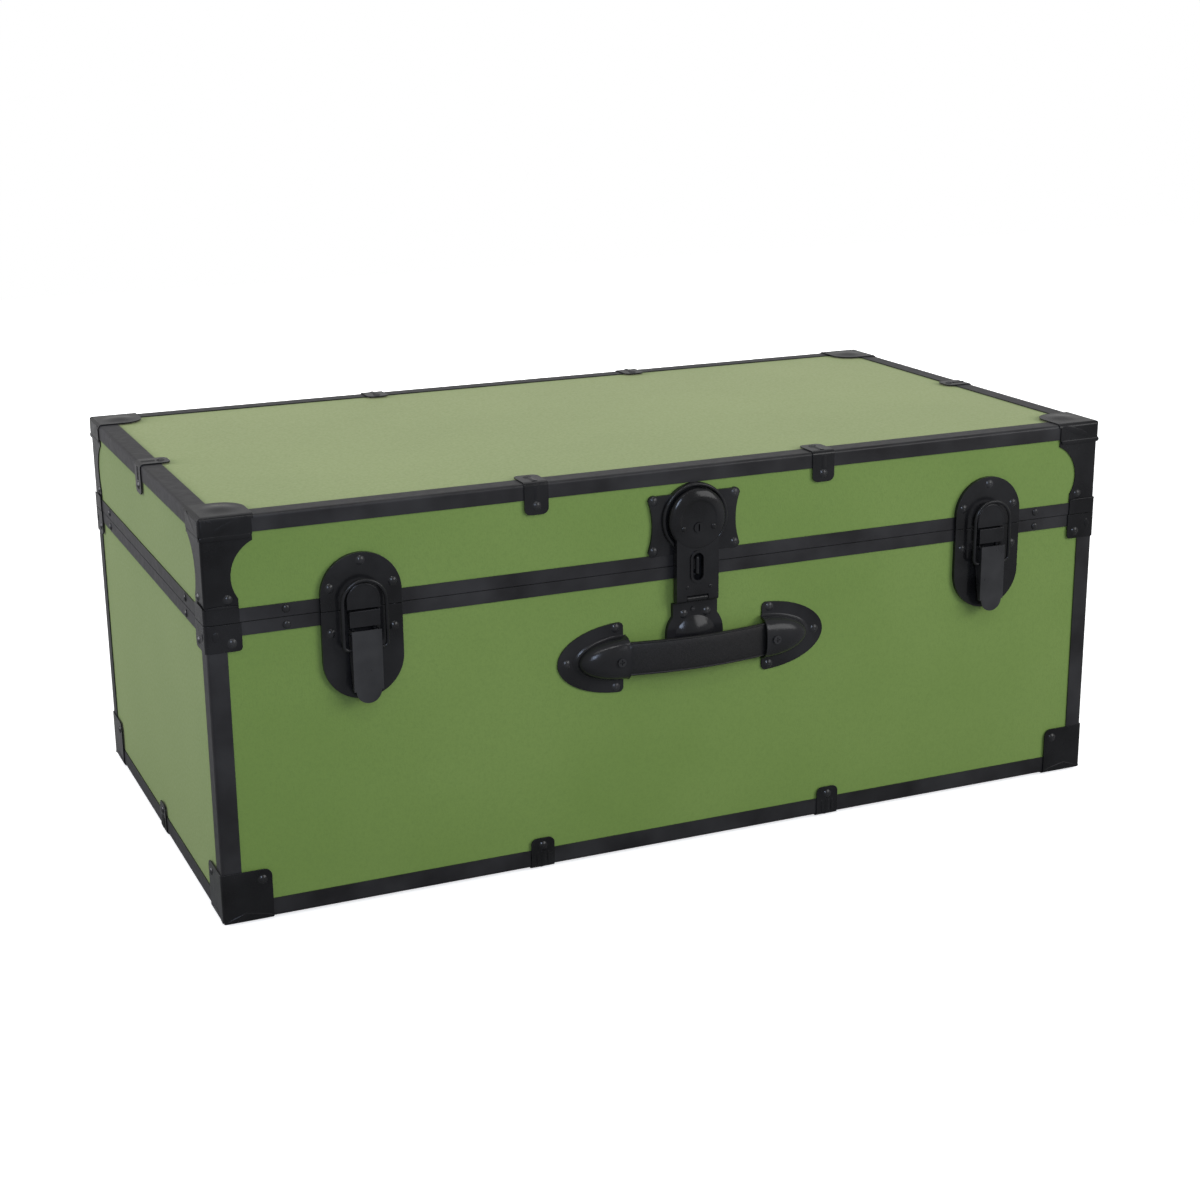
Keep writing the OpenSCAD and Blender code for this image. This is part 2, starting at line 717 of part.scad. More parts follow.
module base_edge_clamps() edge_clamps(CLAMPS_X, foot_h, 1, BASE_RIVETS);

// Latches. Each piece is drawn in a frame on the front board: +X right, +Y up from the joint, +Z out
plate_t = 1.2;
strip_gap = 0.05;
pin_r = 1.2;
lever_t = 1;
lever_face_out = 3.5;
lever_top_up = 2.2;
lever_flange_in = 5;
cheek_t = 1.5;
cheek_r = 2.2;
lever_pin_z = latch_rise + lever_pin_out;
lever_face_z = lever_pin_z + lever_face_out;
lever_sweep_r = norm([lever_face_out, lever_top_up]);
bail_z = latch_rise + keeper_h + side_gap + bail_wire_r;
bail_x = bail_w / 2 - bail_wire_r;
bail_eye_y = bail_wire_r - bail_down;
module latch_place(x) {
    color(steel_c) case_place() on_front(x, seam_z, 0) children();
}

// Plate outline: straight from the joint, then a half round of the plate's width
module arch(w, low, high) {
    intersection() {
        union() {
            translate([0, high - w / 2]) circle(w / 2);
            translate([-w / 2, low]) square([w, high - w / 2 - low]);
        }
        translate([-w / 2, low]) square([w, high - low]);
    }
}
module arch_tray(w, low, high, z) {
    difference() {
        linear_extrude(z) arch(w, low, high);
        translate([0, 0, -1]) linear_extrude(z - plate_t + 1) arch(w - 2 * plate_t, low - 1, high - plate_t);
    }
}
module strip_notch(low, high) {
    translate([-latch_w, low, -1]) cube([2 * latch_w, high - low, 1 + steel_t]);
}
module latch_lid_plate(x) {
    difference() {
        latch_place(x) difference() {
            arch_tray(latch_w, seam_gap / 2, latch_up, latch_rise);
            strip_notch(-1, rim_leg + strip_gap);
        }
        case_place() drills(LID_RIVETS);
    }
}
module latch_base_plate(x) {
    difference() {
        latch_place(x) difference() {
            mirror([0, 1, 0]) arch_tray(latch_w, seam_gap / 2, latch_down, latch_rise);
            strip_notch(-rim_leg - strip_gap, 1);
        }
        case_place() drills(BASE_RIVETS);
    }
}
module latch_keeper(x) {
    keeper_low = seam_gap / 2 + side_gap;
    latch_place(x) translate([0, 0, latch_rise]) arch_tray(keeper_w, keeper_low, keeper_up, keeper_h);
}

// Bracket under the keeper: a raised step with two cheeks that carry the lever pin
bracket_w = lever_w + 0.5;
bracket_z = lever_pin_z + 0.5;
bracket_high = -seam_gap / 2 - side_gap;
bracket_low = -lever_pin_down + lever_sweep_r + side_gap;
cheek_x = lever_w / 2 - lever_t - 1.3 - cheek_t;
module latch_bracket(x) {
    bracket_l = bracket_high - bracket_low;
    web_z = lever_pin_z - lever_sweep_r - latch_rise;
    latch_place(x) difference() {
        union() {
            difference() {
                translate([-bracket_w / 2, bracket_low, latch_rise]) cube([bracket_w, bracket_l, bracket_z - latch_rise]);
                translate([plate_t - bracket_w / 2, bracket_low + plate_t, latch_rise - 1])
                    cube([bracket_w - 2 * plate_t, bracket_l - 2 * plate_t, bracket_z - latch_rise - plate_t + 1]);
            }
            for (s = [-1, 1]) translate([s * (cheek_x + cheek_t / 2) - cheek_t / 2, 0, 0]) {
                translate([0, -lever_pin_down, lever_pin_z]) rotate([0, 90, 0]) cylinder(r = cheek_r, h = cheek_t);
                translate([0, -lever_pin_down - cheek_r, latch_rise])
                    cube([cheek_t, cheek_r + cheek_r / 2, lever_pin_out]);
                translate([0, -lever_pin_down - cheek_r, latch_rise])
                    cube([cheek_t, bracket_low + lever_pin_down + cheek_r + plate_t, web_z]);
            }
        }
        lever_bore(pin_r + running_gap);
    }
}
module lever_bore(r) {
    translate([-bracket_w, -lever_pin_down, lever_pin_z]) rotate([0, 90, 0]) cylinder(r = r, h = 2 * bracket_w);
}

// Lever: a channel with side flanges that turn on the pin and hold the bail's ends
module latch_lever(x) {
    foot_y = -lever_pin_down - lever_len;
    top_y = lever_top_up - lever_pin_down;
    flange_z = lever_pin_z - lever_flange_in;
    latch_place(x) difference() {
        union() {
            translate([-lever_w / 2, foot_y, lever_face_z - lever_t]) cube([lever_w, top_y - foot_y, lever_t]);
            translate([0, foot_y, lever_face_z - lever_t]) cylinder(r = tongue_r, h = lever_t);
            for (s = [-1, 1]) translate([s * (lever_w / 2 - lever_t / 2) - lever_t / 2, 0, 0]) rotate([90, 0, 90])
                linear_extrude(lever_t) polygon([[top_y, lever_face_z - lever_t / 2], [foot_y, lever_face_z - lever_t / 2],
                    [foot_y, lever_face_z - 3 * lever_t], [bail_eye_y - lever_flange_in, flange_z],
                    [top_y - 1, flange_z]]);
        }
        lever_bore(pin_r + running_gap);
        translate([-lever_w, bail_eye_y, bail_z]) rotate([0, 90, 0])
            cylinder(r = bail_wire_r + running_gap, h = 2 * lever_w);
    }
}

// Bail: a wire loop over the keeper whose ends turn in through the lever's flanges
module latch_bail(x) {
    turn_r = 4;
    end_x = lever_w / 2 - lever_t - 0.65;
    arc_y = bail_up - bail_wire_r - bail_x;
    latch_place(x) translate([0, 0, bail_z]) {
        translate([0, arc_y, 0]) rotate_extrude(angle = 180) translate([bail_x, 0]) circle(bail_wire_r);
        for (s = [0, 1]) mirror([s, 0, 0]) {
            translate([bail_x, bail_eye_y + turn_r, 0]) rotate([-90, 0, 0])
                cylinder(r = bail_wire_r, h = arc_y - bail_eye_y - turn_r);
            translate([bail_x - turn_r, bail_eye_y + turn_r, 0]) rotate([0, 0, -90])
                rotate_extrude(angle = 90) translate([turn_r, 0]) circle(bail_wire_r);
            translate([end_x, bail_eye_y, 0]) rotate([0, 90, 0])
                cylinder(r = bail_wire_r, h = bail_x - turn_r - end_x);
        }
    }
}
module latch_pins() {
    pin_hl = lever_w / 2 + 0.7;
    for (x = LATCHES_X) latch_place(x) translate([-pin_hl, -lever_pin_down, lever_pin_z]) rotate([0, 90, 0])
        cylinder(r = pin_r, h = 2 * pin_hl);
}
module left_latch_lid_plate() latch_lid_plate(LATCHES_X[0]);
module left_latch_keeper() latch_keeper(LATCHES_X[0]);
module left_latch_base_plate() latch_base_plate(LATCHES_X[0]);
module left_latch_bracket() latch_bracket(LATCHES_X[0]);
module left_latch_lever() latch_lever(LATCHES_X[0]);
module left_latch_bail() latch_bail(LATCHES_X[0]);
module right_latch_lid_plate() latch_lid_plate(LATCHES_X[1]);
module right_latch_keeper() latch_keeper(LATCHES_X[1]);
module right_latch_base_plate() latch_base_plate(LATCHES_X[1]);
module right_latch_bracket() latch_bracket(LATCHES_X[1]);
module right_latch_lever() latch_lever(LATCHES_X[1]);
module right_latch_bail() latch_bail(LATCHES_X[1]);

// Lock, in the same kind of frame: +X right, +Y up from the joint, +Z out of the front board
hasp_pin_z = 5.8;
hasp_lug_r = hasp_h - hasp_pin_z;
hasp_sheet_t = 1.2;
hasp_under = 3;
ring_w = 3.2;
head_under = ring_h + side_gap;
head_z = hasp_h + hasp_dome_h;
window_w = 18;
module lock_place() {
    color(steel_c) case_place() on_front(fittings_x, seam_z, 0) children();
}

// Plate on the lid: four riveted ears round a raised ring
module lock_plate() {
    ear_r = 4.5;
    ear_y = ear_low - seam_z;
    mid_y = ear_y + ear_z / 2;
    waist_r = 60;
    waist_dip = 3.5;
    difference() {
        lock_place() {
            difference() {
                linear_extrude(lock_sheet_t) difference() {
                    union() {
                        for (s = [-1, 1], y = [ear_y, ear_y + ear_z]) translate([s * ear_x, y]) circle(ear_r);
                        translate([-ear_x, ear_y - ear_r + 0.5]) square([2 * ear_x, ear_z + 2 * ear_r - 1]);
                        translate([-ear_x - ear_r, ear_y]) square([2 * ear_x + 2 * ear_r, ear_z]);
                        translate([0, lock_up]) circle(ring_r);
                    }
                    for (s = [-1, 1]) translate([s * (ear_x + ear_r - waist_dip + waist_r), mid_y])
                        circle(waist_r, $fn = 96);
                }
                strip_notch(0, rim_leg + strip_gap);
            }
            difference() {
                translate([0, lock_up, 0]) rotate_extrude() {
                    translate([ring_r - ring_w, lock_sheet_t - tiny])
                        square([ring_w, ring_h - ring_w / 2 - lock_sheet_t + tiny]);
                    translate([ring_r - ring_w / 2, ring_h - ring_w / 2]) circle(ring_w / 2);
                }
                translate([-hasp_w / 2 - 2 * side_gap, lock_up - 2 * ring_r, lock_sheet_t])
                    cube([hasp_w + 4 * side_gap, 2 * ring_r, ring_h]);
            }
        }
        case_place() drills(LID_RIVETS);
    }
}

// Padlock staple on the base: a tongue across the joint with a bowed bar
module padlock_staple() {
    bar_r = 1.6;
    tongue_z = steel_t + side_gap;
    tongue_w = 18;
    bar_z = hasp_h - bar_r + 0.2;
    bar_low = -5.5;
    bar_high = 7.5;
    tongue_low = -rim_leg - 11;
    tongue_high = bar_high + 1;
    lock_place() {
        translate([-tongue_w / 2, tongue_low, tongue_z]) cube([tongue_w, tongue_high - tongue_low, plate_t]);
        translate([-tongue_w / 2, tongue_low, 0]) cube([tongue_w, -rim_leg - strip_gap - tongue_low, tongue_z + tiny]);
        for (y = [bar_low, bar_high - bar_r]) translate([0, y, tongue_z + plate_t / 2])
            cylinder(r = bar_r, h = bar_z - tongue_z - plate_t / 2);
        for (y = [bar_low, bar_high - bar_r]) translate([0, y, bar_z]) sphere(bar_r);
        translate([0, bar_low, bar_z]) rotate([-90, 0, 0]) cylinder(r = bar_r, h = bar_high - bar_r - bar_low);
    }
}

// Hasp: a pressed shell with a round domed head that carries the key plug
slot_rim_w = 2;
slot_y = -0.5;
plug_y = lock_up - 6.2;
module slot_outline(grow) {
    w = slot_w - 2 * slot_rim_w + 2 * grow;
    l = slot_l - 2 * slot_rim_w + 2 * grow;
    for (s = [-1, 1]) translate([0, slot_y + s * (l - w) / 2]) circle(w / 2);
    translate([-w / 2, slot_y - (l - w) / 2]) square([w, l - w]);
}
module hasp() {
    lug_l = (hasp_w - window_w) / 2 - side_gap;
    neck_top = lock_up - sqrt(hasp_r * hasp_r - hasp_w * hasp_w / 4);
    neck_low = -hasp_pin_down;
    stud_x = 12.8;
    lock_place() difference() {
        union() {
            difference() {
                union() {
                    translate([-hasp_w / 2, neck_low, hasp_under]) cube([hasp_w, neck_top - neck_low, hasp_h - hasp_under]);
                    translate([-hasp_w / 2, neck_low, head_under]) cube([hasp_w, lock_up - neck_low, hasp_h - head_under]);
                    translate([0, lock_up, 0]) rotate_extrude() polygon([[0, head_under], [hasp_r, head_under],
                        [hasp_r, hasp_h - 1.4], [hasp_r - 1, hasp_h], [hasp_r - 3.5, hasp_h + hasp_dome_h / 2],
                        [hasp_r - 8, head_z - 0.3], [hasp_r - 12, head_z], [0, head_z]]);
                }
                translate([hasp_sheet_t - hasp_w / 2, neck_low - 1, hasp_under - 1])
                    cube([hasp_w - 2 * hasp_sheet_t, lock_up - neck_low + 1, hasp_h - hasp_sheet_t - hasp_under + 1]);
                translate([0, lock_up, head_under - 1])
                    cylinder(r = hasp_r - hasp_sheet_t, h = hasp_h - hasp_sheet_t - head_under + 1);
                translate([0, lock_up, head_under]) cylinder(r = hasp_r - 5, h = head_z - hasp_sheet_t - head_under - 0.4);
                linear_extrude(head_z) slot_outline(0);
            }
            translate([0, 0, hasp_h - tiny]) linear_extrude(1) difference() {
                slot_outline(slot_rim_w);
                slot_outline(0);
            }
            for (s = [-1, 1]) translate([s * (hasp_w / 2 - lug_l / 2) - lug_l / 2, -hasp_pin_down, hasp_pin_z])
                rotate([0, 90, 0]) cylinder(r = hasp_lug_r, h = lug_l);
            for (s = [-1, 1]) translate([s * stud_x, plug_y, hasp_h]) cylinder(r = small_rivet_r, h = hasp_dome_h + 0.6);
        }
        translate([-window_w / 2 - side_gap, -hasp_pin_down - 2 * hasp_lug_r, 0])
            cube([window_w + 2 * side_gap, 3 * hasp_lug_r + side_gap, head_z]);
        hasp_bore(pin_r + running_gap);
        translate([0, plug_y, 0]) cylinder(r = plug_r + running_gap, h = 2 * head_z);
    }
}
module hasp_bore(r) {
    translate([-hasp_w, -hasp_pin_down, hasp_pin_z]) rotate([0, 90, 0]) cylinder(r = r, h = 2 * hasp_w);
}

// Key plug with its keyway, and the cam that it turns inside the hasp's head
module lock_plug() {
    cam_z = head_under + 0.6;
    cam_t = 1.4;
    cam_r = 7;
    key_w = 1.1;
    lock_place() translate([0, plug_y, 0]) difference() {
        union() {
            translate([0, 0, cam_z]) cylinder(r = plug_r, h = head_z - cam_z + 0.3);
            translate([-cam_r / 2, -cam_r, cam_z]) cube([cam_r, cam_r, cam_t]);
        }
        translate([-key_w / 2, -plug_r * 0.7, head_z - 2]) cube([key_w, 1.4 * plug_r, 4]);
    }
}

// Hasp base: a shouldered plate on the front board that swells into a round boss
module hasp_base_plate() {
    neck_w = hasp_w + 2.4;
    boss_r = 24.5;
    shoulder_y = -hasp_pin_down - hasp_lug_r - 2 * side_gap;
    boss_y = shoulder_y - boss_r - 1.4;
    dome_h0 = 5;
    dome_r0 = boss_r - 6.1;
    dome_ball_r = (dome_r0 * dome_r0 + dome_h0 * dome_h0) / (2 * dome_h0);
    dome_y = boss_y - 3;
    tongue_w = window_w - 2 * side_gap;
    tongue_r = hasp_lug_r - 0.2;
    difference() {
        lock_place() difference() {
            union() {
                difference() {
                    linear_extrude(hasp_base_h) base_outline(neck_w, boss_r, shoulder_y, boss_y);
                    translate([0, 0, -1]) linear_extrude(hasp_base_h - plate_t + 1)
                        base_outline(neck_w - 2 * plate_t, boss_r - plate_t, shoulder_y - plate_t, boss_y);
                }
                translate([0, dome_y, hasp_base_h - plate_t]) rotate_extrude() intersection() {
                    translate([0, plate_t + dome_h0 - dome_ball_r]) circle(dome_ball_r, $fn = 128);
                    square([dome_r0, plate_t + dome_h0]);
                }
                translate([-tongue_w / 2, -hasp_pin_down, hasp_pin_z]) rotate([0, 90, 0])
                    cylinder(r = tongue_r, h = tongue_w);
                translate([-tongue_w / 2, shoulder_y - 2 * plate_t, hasp_base_h - plate_t])
                    cube([tongue_w, -hasp_pin_down - shoulder_y + 2 * plate_t, plate_t]);
            }
            hasp_bore(pin_r + running_gap);
        }
        case_place() drills(BASE_RIVETS);
    }
}
module base_outline(neck_w, boss_r, shoulder_y, boss_y) {
    translate([0, boss_y]) circle(boss_r);
    translate([-neck_w / 2, boss_y + boss_r / 2]) square([neck_w, shoulder_y - boss_y - boss_r / 2]);
}
module hasp_pin() {
    pin_hl = hasp_w / 2;
    lock_place() translate([-pin_hl, -hasp_pin_down, hasp_pin_z]) rotate([0, 90, 0]) cylinder(r = pin_r, h = 2 * pin_hl);
}

// Handle, in a frame at its middle: +X right, +Y up, +Z out of the front board
dome_l = cap_l - dome_in;
screw_x = handle_half - cap_l + 7;
screw_head_r = 3.4;
screw_seat = dome_h - 0.5;
screw_r = 1.6;
strap_end_x = handle_half - cap_l;
strap_rise = strap_mid_h - strap_end_h;
strap_bow_r = (strap_end_x * strap_end_x + strap_rise * strap_rise) / (2 * strap_rise);
module handle_place(c) {
    color(c) case_place() on_front(fittings_x, handle_z, 0) children();
}
function half_ellipse(a, b) = [for (i = [0 : 32]) [-a * sin(i * 180 / 32), b * cos(i * 180 / 32)]];

// Left cap: a flat half-oval flange round a dome that is open towards the strap
module handle_cap() {
    mouth_x = cap_l - handle_half;
    ear_r = 4;
    difference() {
        union() {
            linear_extrude(cap_sheet_t) translate([mouth_x, 0]) intersection() {
                polygon(half_ellipse(cap_l, cap_h / 2));
                translate([-2 * cap_l, -cap_h / 2]) round_rect(2 * cap_l, cap_h, ear_r);
            }
            cap_dome(0);
        }
        cap_dome(1.4);
        cap_bore(cap_rivet_in - handle_half, 0);
        for (s = [-1, 1]) cap_bore(cap_ear_rivet_x - handle_half, s * cap_ear_rivet_z);
        screw_bores(screw_r + shank_gap);
        for (s = [-1, 1]) translate([s * screw_x, 0, screw_seat]) cylinder(r = screw_head_r + shank_gap, h = dome_h);
    }
}
module cap_bore(x, y) {
    translate([x, y, -1]) cylinder(r = shank_r + shank_gap, h = 4);
}
module cap_dome(t) {
    mouth_x = cap_l - handle_half;
    l = dome_l - t;
    hw = dome_r - t;
    h = dome_h - t;
    side_r = dome_r / 2 - t;
    reach = t > 0 ? 1 : 0;
    low = t > 0 ? -1 : 0;
    intersection() {
        translate([mouth_x, 0, low]) linear_extrude(dome_h + 1) {
            polygon(half_ellipse(l, hw));
            translate([-tiny, -hw]) square([reach + tiny, 2 * hw]);
        }
        translate([mouth_x, dome_r, 0]) rotate([90, 0, 0]) linear_extrude(2 * dome_r) {
            polygon(half_ellipse(l, h));
            translate([-tiny, -h]) square([reach + tiny, 2 * h]);
        }
        translate([mouth_x - dome_l, -hw, -h]) rotate([90, 0, 90]) linear_extrude(dome_l + reach)
            round_rect(2 * hw, 2 * h, side_r);
    }
}
module left_handle_cap() handle_place(steel_c) handle_cap();
module right_handle_cap() handle_place(steel_c) mirror([1, 0, 0]) handle_cap();

// Strap: a firm bowed band whose ends lie inside the caps
module handle_strap() {
    strap_reach = screw_x + 7;
    handle_place(strap_c) difference() {
        translate([0, -strap_w / 2, strap_mid_h - strap_bow_r]) rotate([-90, 0, 0]) intersection() {
            difference() {
                cylinder(r = strap_bow_r, h = strap_w, $fn = 240);
                translate([0, 0, -1]) cylinder(r = strap_bow_r - strap_t, h = strap_w + 2, $fn = 240);
            }
            translate([-strap_reach, -2 * strap_bow_r, 0]) cube([2 * strap_reach, 2 * strap_bow_r, strap_w]);
        }
        screw_bores(screw_r + shank_gap);
    }
}
module screw_bores(r) {
    for (s = [-1, 1]) translate([s * screw_x, 0, -board_t + 2]) cylinder(r = r, h = dome_h + board_t);
}

// Screws through the caps' domes and the strap's ends into the board
module handle_screws() {
    head_r = screw_head_r;
    head_h = 1.8;
    seat_z = screw_seat;
    cross_w = 0.8;
    handle_place(steel_c) for (s = [-1, 1]) translate([s * screw_x, 0, 0]) difference() {
        union() {
            translate([0, 0, -board_t + 2]) cylinder(r = screw_r, h = seat_z + board_t - 2 + tiny);
            translate([0, 0, seat_z]) cylinder(r = head_r, h = head_h);
        }
        translate([-head_r * 0.6, -cross_w / 2, seat_z + head_h - 1]) cube([head_r * 1.2, cross_w, 2]);
        translate([-cross_w / 2, -head_r * 0.6, seat_z + head_h - 1]) cube([cross_w, head_r * 1.2, 2]);
    }
}

// Back hinges, in the front board's kind of frame carried across to the back
hinge_z = hinge_axis_out;
knuckle_l = hinge_l / knuckles;
module hinge_place(x) {
    color(steel_c) case_place() mirror([0, 1, 0]) on_front(x, seam_z, 0) children();
}
module hinge_leaf(first) {
    step = hinge_leaf_t;
    web = knuckle_r;
    difference() {
        union() {
            translate([-hinge_l / 2, 1, steel_t]) cube([hinge_l, rim_leg + step, hinge_leaf_t]);
            translate([-hinge_l / 2, rim_leg + strip_gap, 0]) cube([hinge_l, hinge_leaf_h - rim_leg, hinge_leaf_t]);
            translate([-hinge_l / 2, rim_leg + strip_gap, 0]) cube([hinge_l, step, steel_t + hinge_leaf_t]);
            for (i = [first : 2 : knuckles - 1]) translate([(i - knuckles / 2) * knuckle_l + side_gap / 2, 0, 0]) {
                translate([0, 0, hinge_z]) rotate([0, 90, 0]) cylinder(r = knuckle_r, h = knuckle_l - side_gap);
                translate([0, seam_gap / 2, steel_t]) cube([knuckle_l - side_gap, web, hinge_z - steel_t]);
            }
        }
        translate([-hinge_l, 0, hinge_z]) rotate([0, 90, 0]) cylinder(r = hinge_pin_r + running_gap, h = 2 * hinge_l);
    }
}
module lid_hinge_leaves() {
    difference() {
        for (x = HINGES_X) hinge_place(x) hinge_leaf(1);
        case_place() drills(LID_RIVETS);
    }
}
module base_hinge_leaves() {
    difference() {
        for (x = HINGES_X) hinge_place(x) mirror([0, 1, 0]) hinge_leaf(0);
        case_place() drills(BASE_RIVETS);
    }
}
module hinge_pins() {
    for (x = HINGES_X) hinge_place(x) translate([-hinge_l / 2 - 0.5, 0, hinge_z]) rotate([0, 90, 0])
        cylinder(r = hinge_pin_r, h = hinge_l + 1);
}

lid_top_panel();
lid_front_panel();
lid_back_panel();
lid_left_panel();
lid_right_panel();
base_front_panel();
base_back_panel();
base_left_panel();
base_right_panel();
base_bottom_panel();
lid_lining();
base_lining();
lid_top_binding();
lid_rim_binding();
base_rim_binding();
base_bottom_binding();
upright_bindings();
base_guide_strips();
lid_front_left_corner();
lid_front_right_corner();
lid_back_left_corner();
lid_back_right_corner();
rim_front_left_corner();
rim_front_right_corner();
rim_back_left_corner();
rim_back_right_corner();
foot_front_left_corner();
foot_front_right_corner();
foot_back_left_corner();
foot_back_right_corner();
lid_edge_clamps();
base_edge_clamps();
lid_rivets();
base_rivets();
left_latch_lid_plate();
left_latch_keeper();
left_latch_base_plate();
left_latch_bracket();
left_latch_lever();
left_latch_bail();
right_latch_lid_plate();
right_latch_keeper();
right_latch_base_plate();
right_latch_bracket();
right_latch_lever();
right_latch_bail();
latch_pins();
lock_plate();
padlock_staple();
hasp();
lock_plug();
hasp_base_plate();
hasp_pin();
left_handle_cap();
right_handle_cap();
handle_strap();
handle_screws();
lid_hinge_leaves();
base_hinge_leaves();
hinge_pins();
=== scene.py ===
# %% [markdown]
# # A steel-bound storage trunk
# The real trunk is a box of thin boards covered in green vinyl cloth. Black enamelled steel bindings run along
# every edge, pressed corners cap them, and two pull-down latches, a hinged hasp lock and a leather handle sit
# on the front. The imported model gives every part its place and size. This lesson dresses it: it gives each part
# its finish, rounds the edges of the pressed steel, and models what is soft or deeply pressed.

# %% Load the frame
import json
import math

import bmesh
import bpy
from mathutils import Matrix, Vector

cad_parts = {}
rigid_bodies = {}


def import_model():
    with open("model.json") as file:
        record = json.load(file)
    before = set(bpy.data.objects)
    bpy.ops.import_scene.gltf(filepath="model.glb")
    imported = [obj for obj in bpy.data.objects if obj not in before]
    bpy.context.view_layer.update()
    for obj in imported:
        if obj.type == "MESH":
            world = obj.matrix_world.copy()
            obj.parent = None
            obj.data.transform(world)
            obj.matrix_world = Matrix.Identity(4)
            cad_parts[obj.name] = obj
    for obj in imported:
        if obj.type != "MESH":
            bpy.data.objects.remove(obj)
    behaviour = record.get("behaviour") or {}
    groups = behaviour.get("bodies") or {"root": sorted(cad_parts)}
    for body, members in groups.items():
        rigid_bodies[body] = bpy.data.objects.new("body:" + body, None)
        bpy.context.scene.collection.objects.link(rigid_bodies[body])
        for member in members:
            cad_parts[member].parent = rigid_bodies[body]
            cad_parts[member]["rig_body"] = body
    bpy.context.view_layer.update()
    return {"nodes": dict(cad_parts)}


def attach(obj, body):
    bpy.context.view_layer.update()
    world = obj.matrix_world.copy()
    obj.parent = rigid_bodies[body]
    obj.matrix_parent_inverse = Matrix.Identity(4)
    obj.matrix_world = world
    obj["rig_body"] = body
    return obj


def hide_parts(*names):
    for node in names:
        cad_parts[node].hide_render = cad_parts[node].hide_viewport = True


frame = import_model()
nodes = frame["nodes"]

# %% [markdown]
# ## Places on the trunk
# Everything is in metres, with the trunk standing on z = 0 and its front facing -Y. The handle and the lock stand
# further out of the front than the hinges stand out of the back, so the case sits a little behind the origin.
# The values repeat the real sizes of the part, and the later cells measure from them.

# %% Named places
MM = 0.001
CASE_Y = 4.6 * MM
SEAM = 232.5 * MM
HALF_W = 381 * MM
HALF_D = 200 * MM
TOP = 311 * MM
BOARD_FRONT = -198 * MM + CASE_Y
FITTINGS_X = 3.5 * MM
LATCHES = {"left": FITTINGS_X - 269 * MM, "right": FITTINGS_X + 269 * MM}
print("board front at y =", round(BOARD_FRONT, 4), "latches at x =", LATCHES)

# %% [markdown]
# ## The camera
# A long lens from the left and a little above shows the front, the left end and the top, as a catalogue does.
# The place was worked out from the trunk's known size, so it is given as a turn, a rise, a small roll and a
# distance from an aim point inside the case. The picture is square.

# %% Camera
def camera_at(aim, turn, rise, roll, distance, lens):
    t, r = math.radians(turn), math.radians(rise)
    back = Vector((math.sin(t) * math.cos(r), -math.cos(t) * math.cos(r), math.sin(r)))
    right = Vector((0, 0, 1)).cross(back).normalized()
    up = back.cross(right)
    k = math.radians(roll)
    right, up = right * math.cos(k) + up * math.sin(k), up * math.cos(k) - right * math.sin(k)
    camera = bpy.data.objects.new("camera", bpy.data.cameras.new("camera"))
    bpy.context.collection.objects.link(camera)
    turned = Matrix((right, up, back)).transposed().to_4x4()
    camera.matrix_world = Matrix.Translation(aim + back * distance) @ turned
    camera.data.sensor_width = 36
    camera.data.lens = lens
    camera.data.clip_end = 50
    bpy.context.scene.camera = camera
    return camera


camera = camera_at(
    Vector((10.03, 1.71, 149.53)) * MM, turn=-23.704, rise=16.537, roll=-0.567, distance=1.799, lens=61.93
)
print("camera stands at", [round(v, 3) for v in camera.location])

# %% [markdown]
# ## Light, and a helper for nodes
# A studio shows black enamel by what it mirrors: a wide soft panel beyond the left end, a second one overhead, a
# fill from the right front, a low one for the back, a small cool window and a high strip. A lamp that would wash
# out the black gives only a share of its light to reflections. The backdrop is white for the camera alone and grey
# in reflections, so it doesn't light the trunk, and a faint contact shadow stays on the floor. The world, the floor
# and every material are node trees, so one small function adds a node, sets it and links it. Another turns the hex
# colours of a picture into the linear numbers that shaders want.

# %% A helper for nodes, and colours
def linear(hex_colour):
    """An sRGB hex colour as linear RGBA."""
    parts = [int(hex_colour[i:i + 2], 16) / 255 for i in (1, 3, 5)]
    return [p / 12.92 if p <= 0.04045 else ((p + 0.055) / 1.055) ** 2.4 for p in parts] + [1]


def add(tree, kind, settings=None, **inputs):
    """Adds a node. Settings are its own properties. An input, such as i0 for the first, takes a value, a hex colour,
    an output to link, or a node whose first output is linked."""
    node = tree.nodes.new(kind)
    for name, value in (settings or {}).items():
        setattr(node, name, value)
    for name, value in inputs.items():
        numbered = name[0] == "i" and name[1:].isdigit()
        socket = node.inputs[int(name[1:]) if numbered else name.replace("_", " ")]
        if isinstance(value, bpy.types.Node):
            value = value.outputs[0]
        if isinstance(value, bpy.types.NodeSocket):
            tree.links.new(value, socket)
        else:
            socket.default_value = linear(value) if isinstance(value, str) else value
    return node


print("front green in linear light:", [round(v, 3) for v in linear("#66803c")])

# %% [markdown]
# ## The backdrop
# The photograph has pure white behind the trunk. A world shader can tell which ray asks: the camera gets white,
# reflections get a mid grey that keeps black enamel black, and everything else gets a soft even light.

# %% World
scene = bpy.context.scene
scene.view_settings.view_transform = "Standard"
world = bpy.data.worlds.new("studio")
scene.world = world
world.use_nodes = True
tree = world.node_tree
tree.nodes.clear()
path = add(tree, "ShaderNodeLightPath")
seen = add(
    tree, "ShaderNodeMath", {"operation": "MAXIMUM"},
    i0=path.outputs["Is Camera Ray"], i1=path.outputs["Is Transmission Ray"],
)
mirrored = add(tree, "ShaderNodeMapRange", Value=path.outputs["Is Glossy Ray"], To_Min=0.42, To_Max=0.4)
level = add(tree, "ShaderNodeMath", {"operation": "MAXIMUM"}, i0=seen, i1=mirrored)
ambient = add(tree, "ShaderNodeBackground", Color=(1, 1, 1, 1), Strength=level)
add(tree, "ShaderNodeOutputWorld", Surface=ambient)
print("world:", world.name)

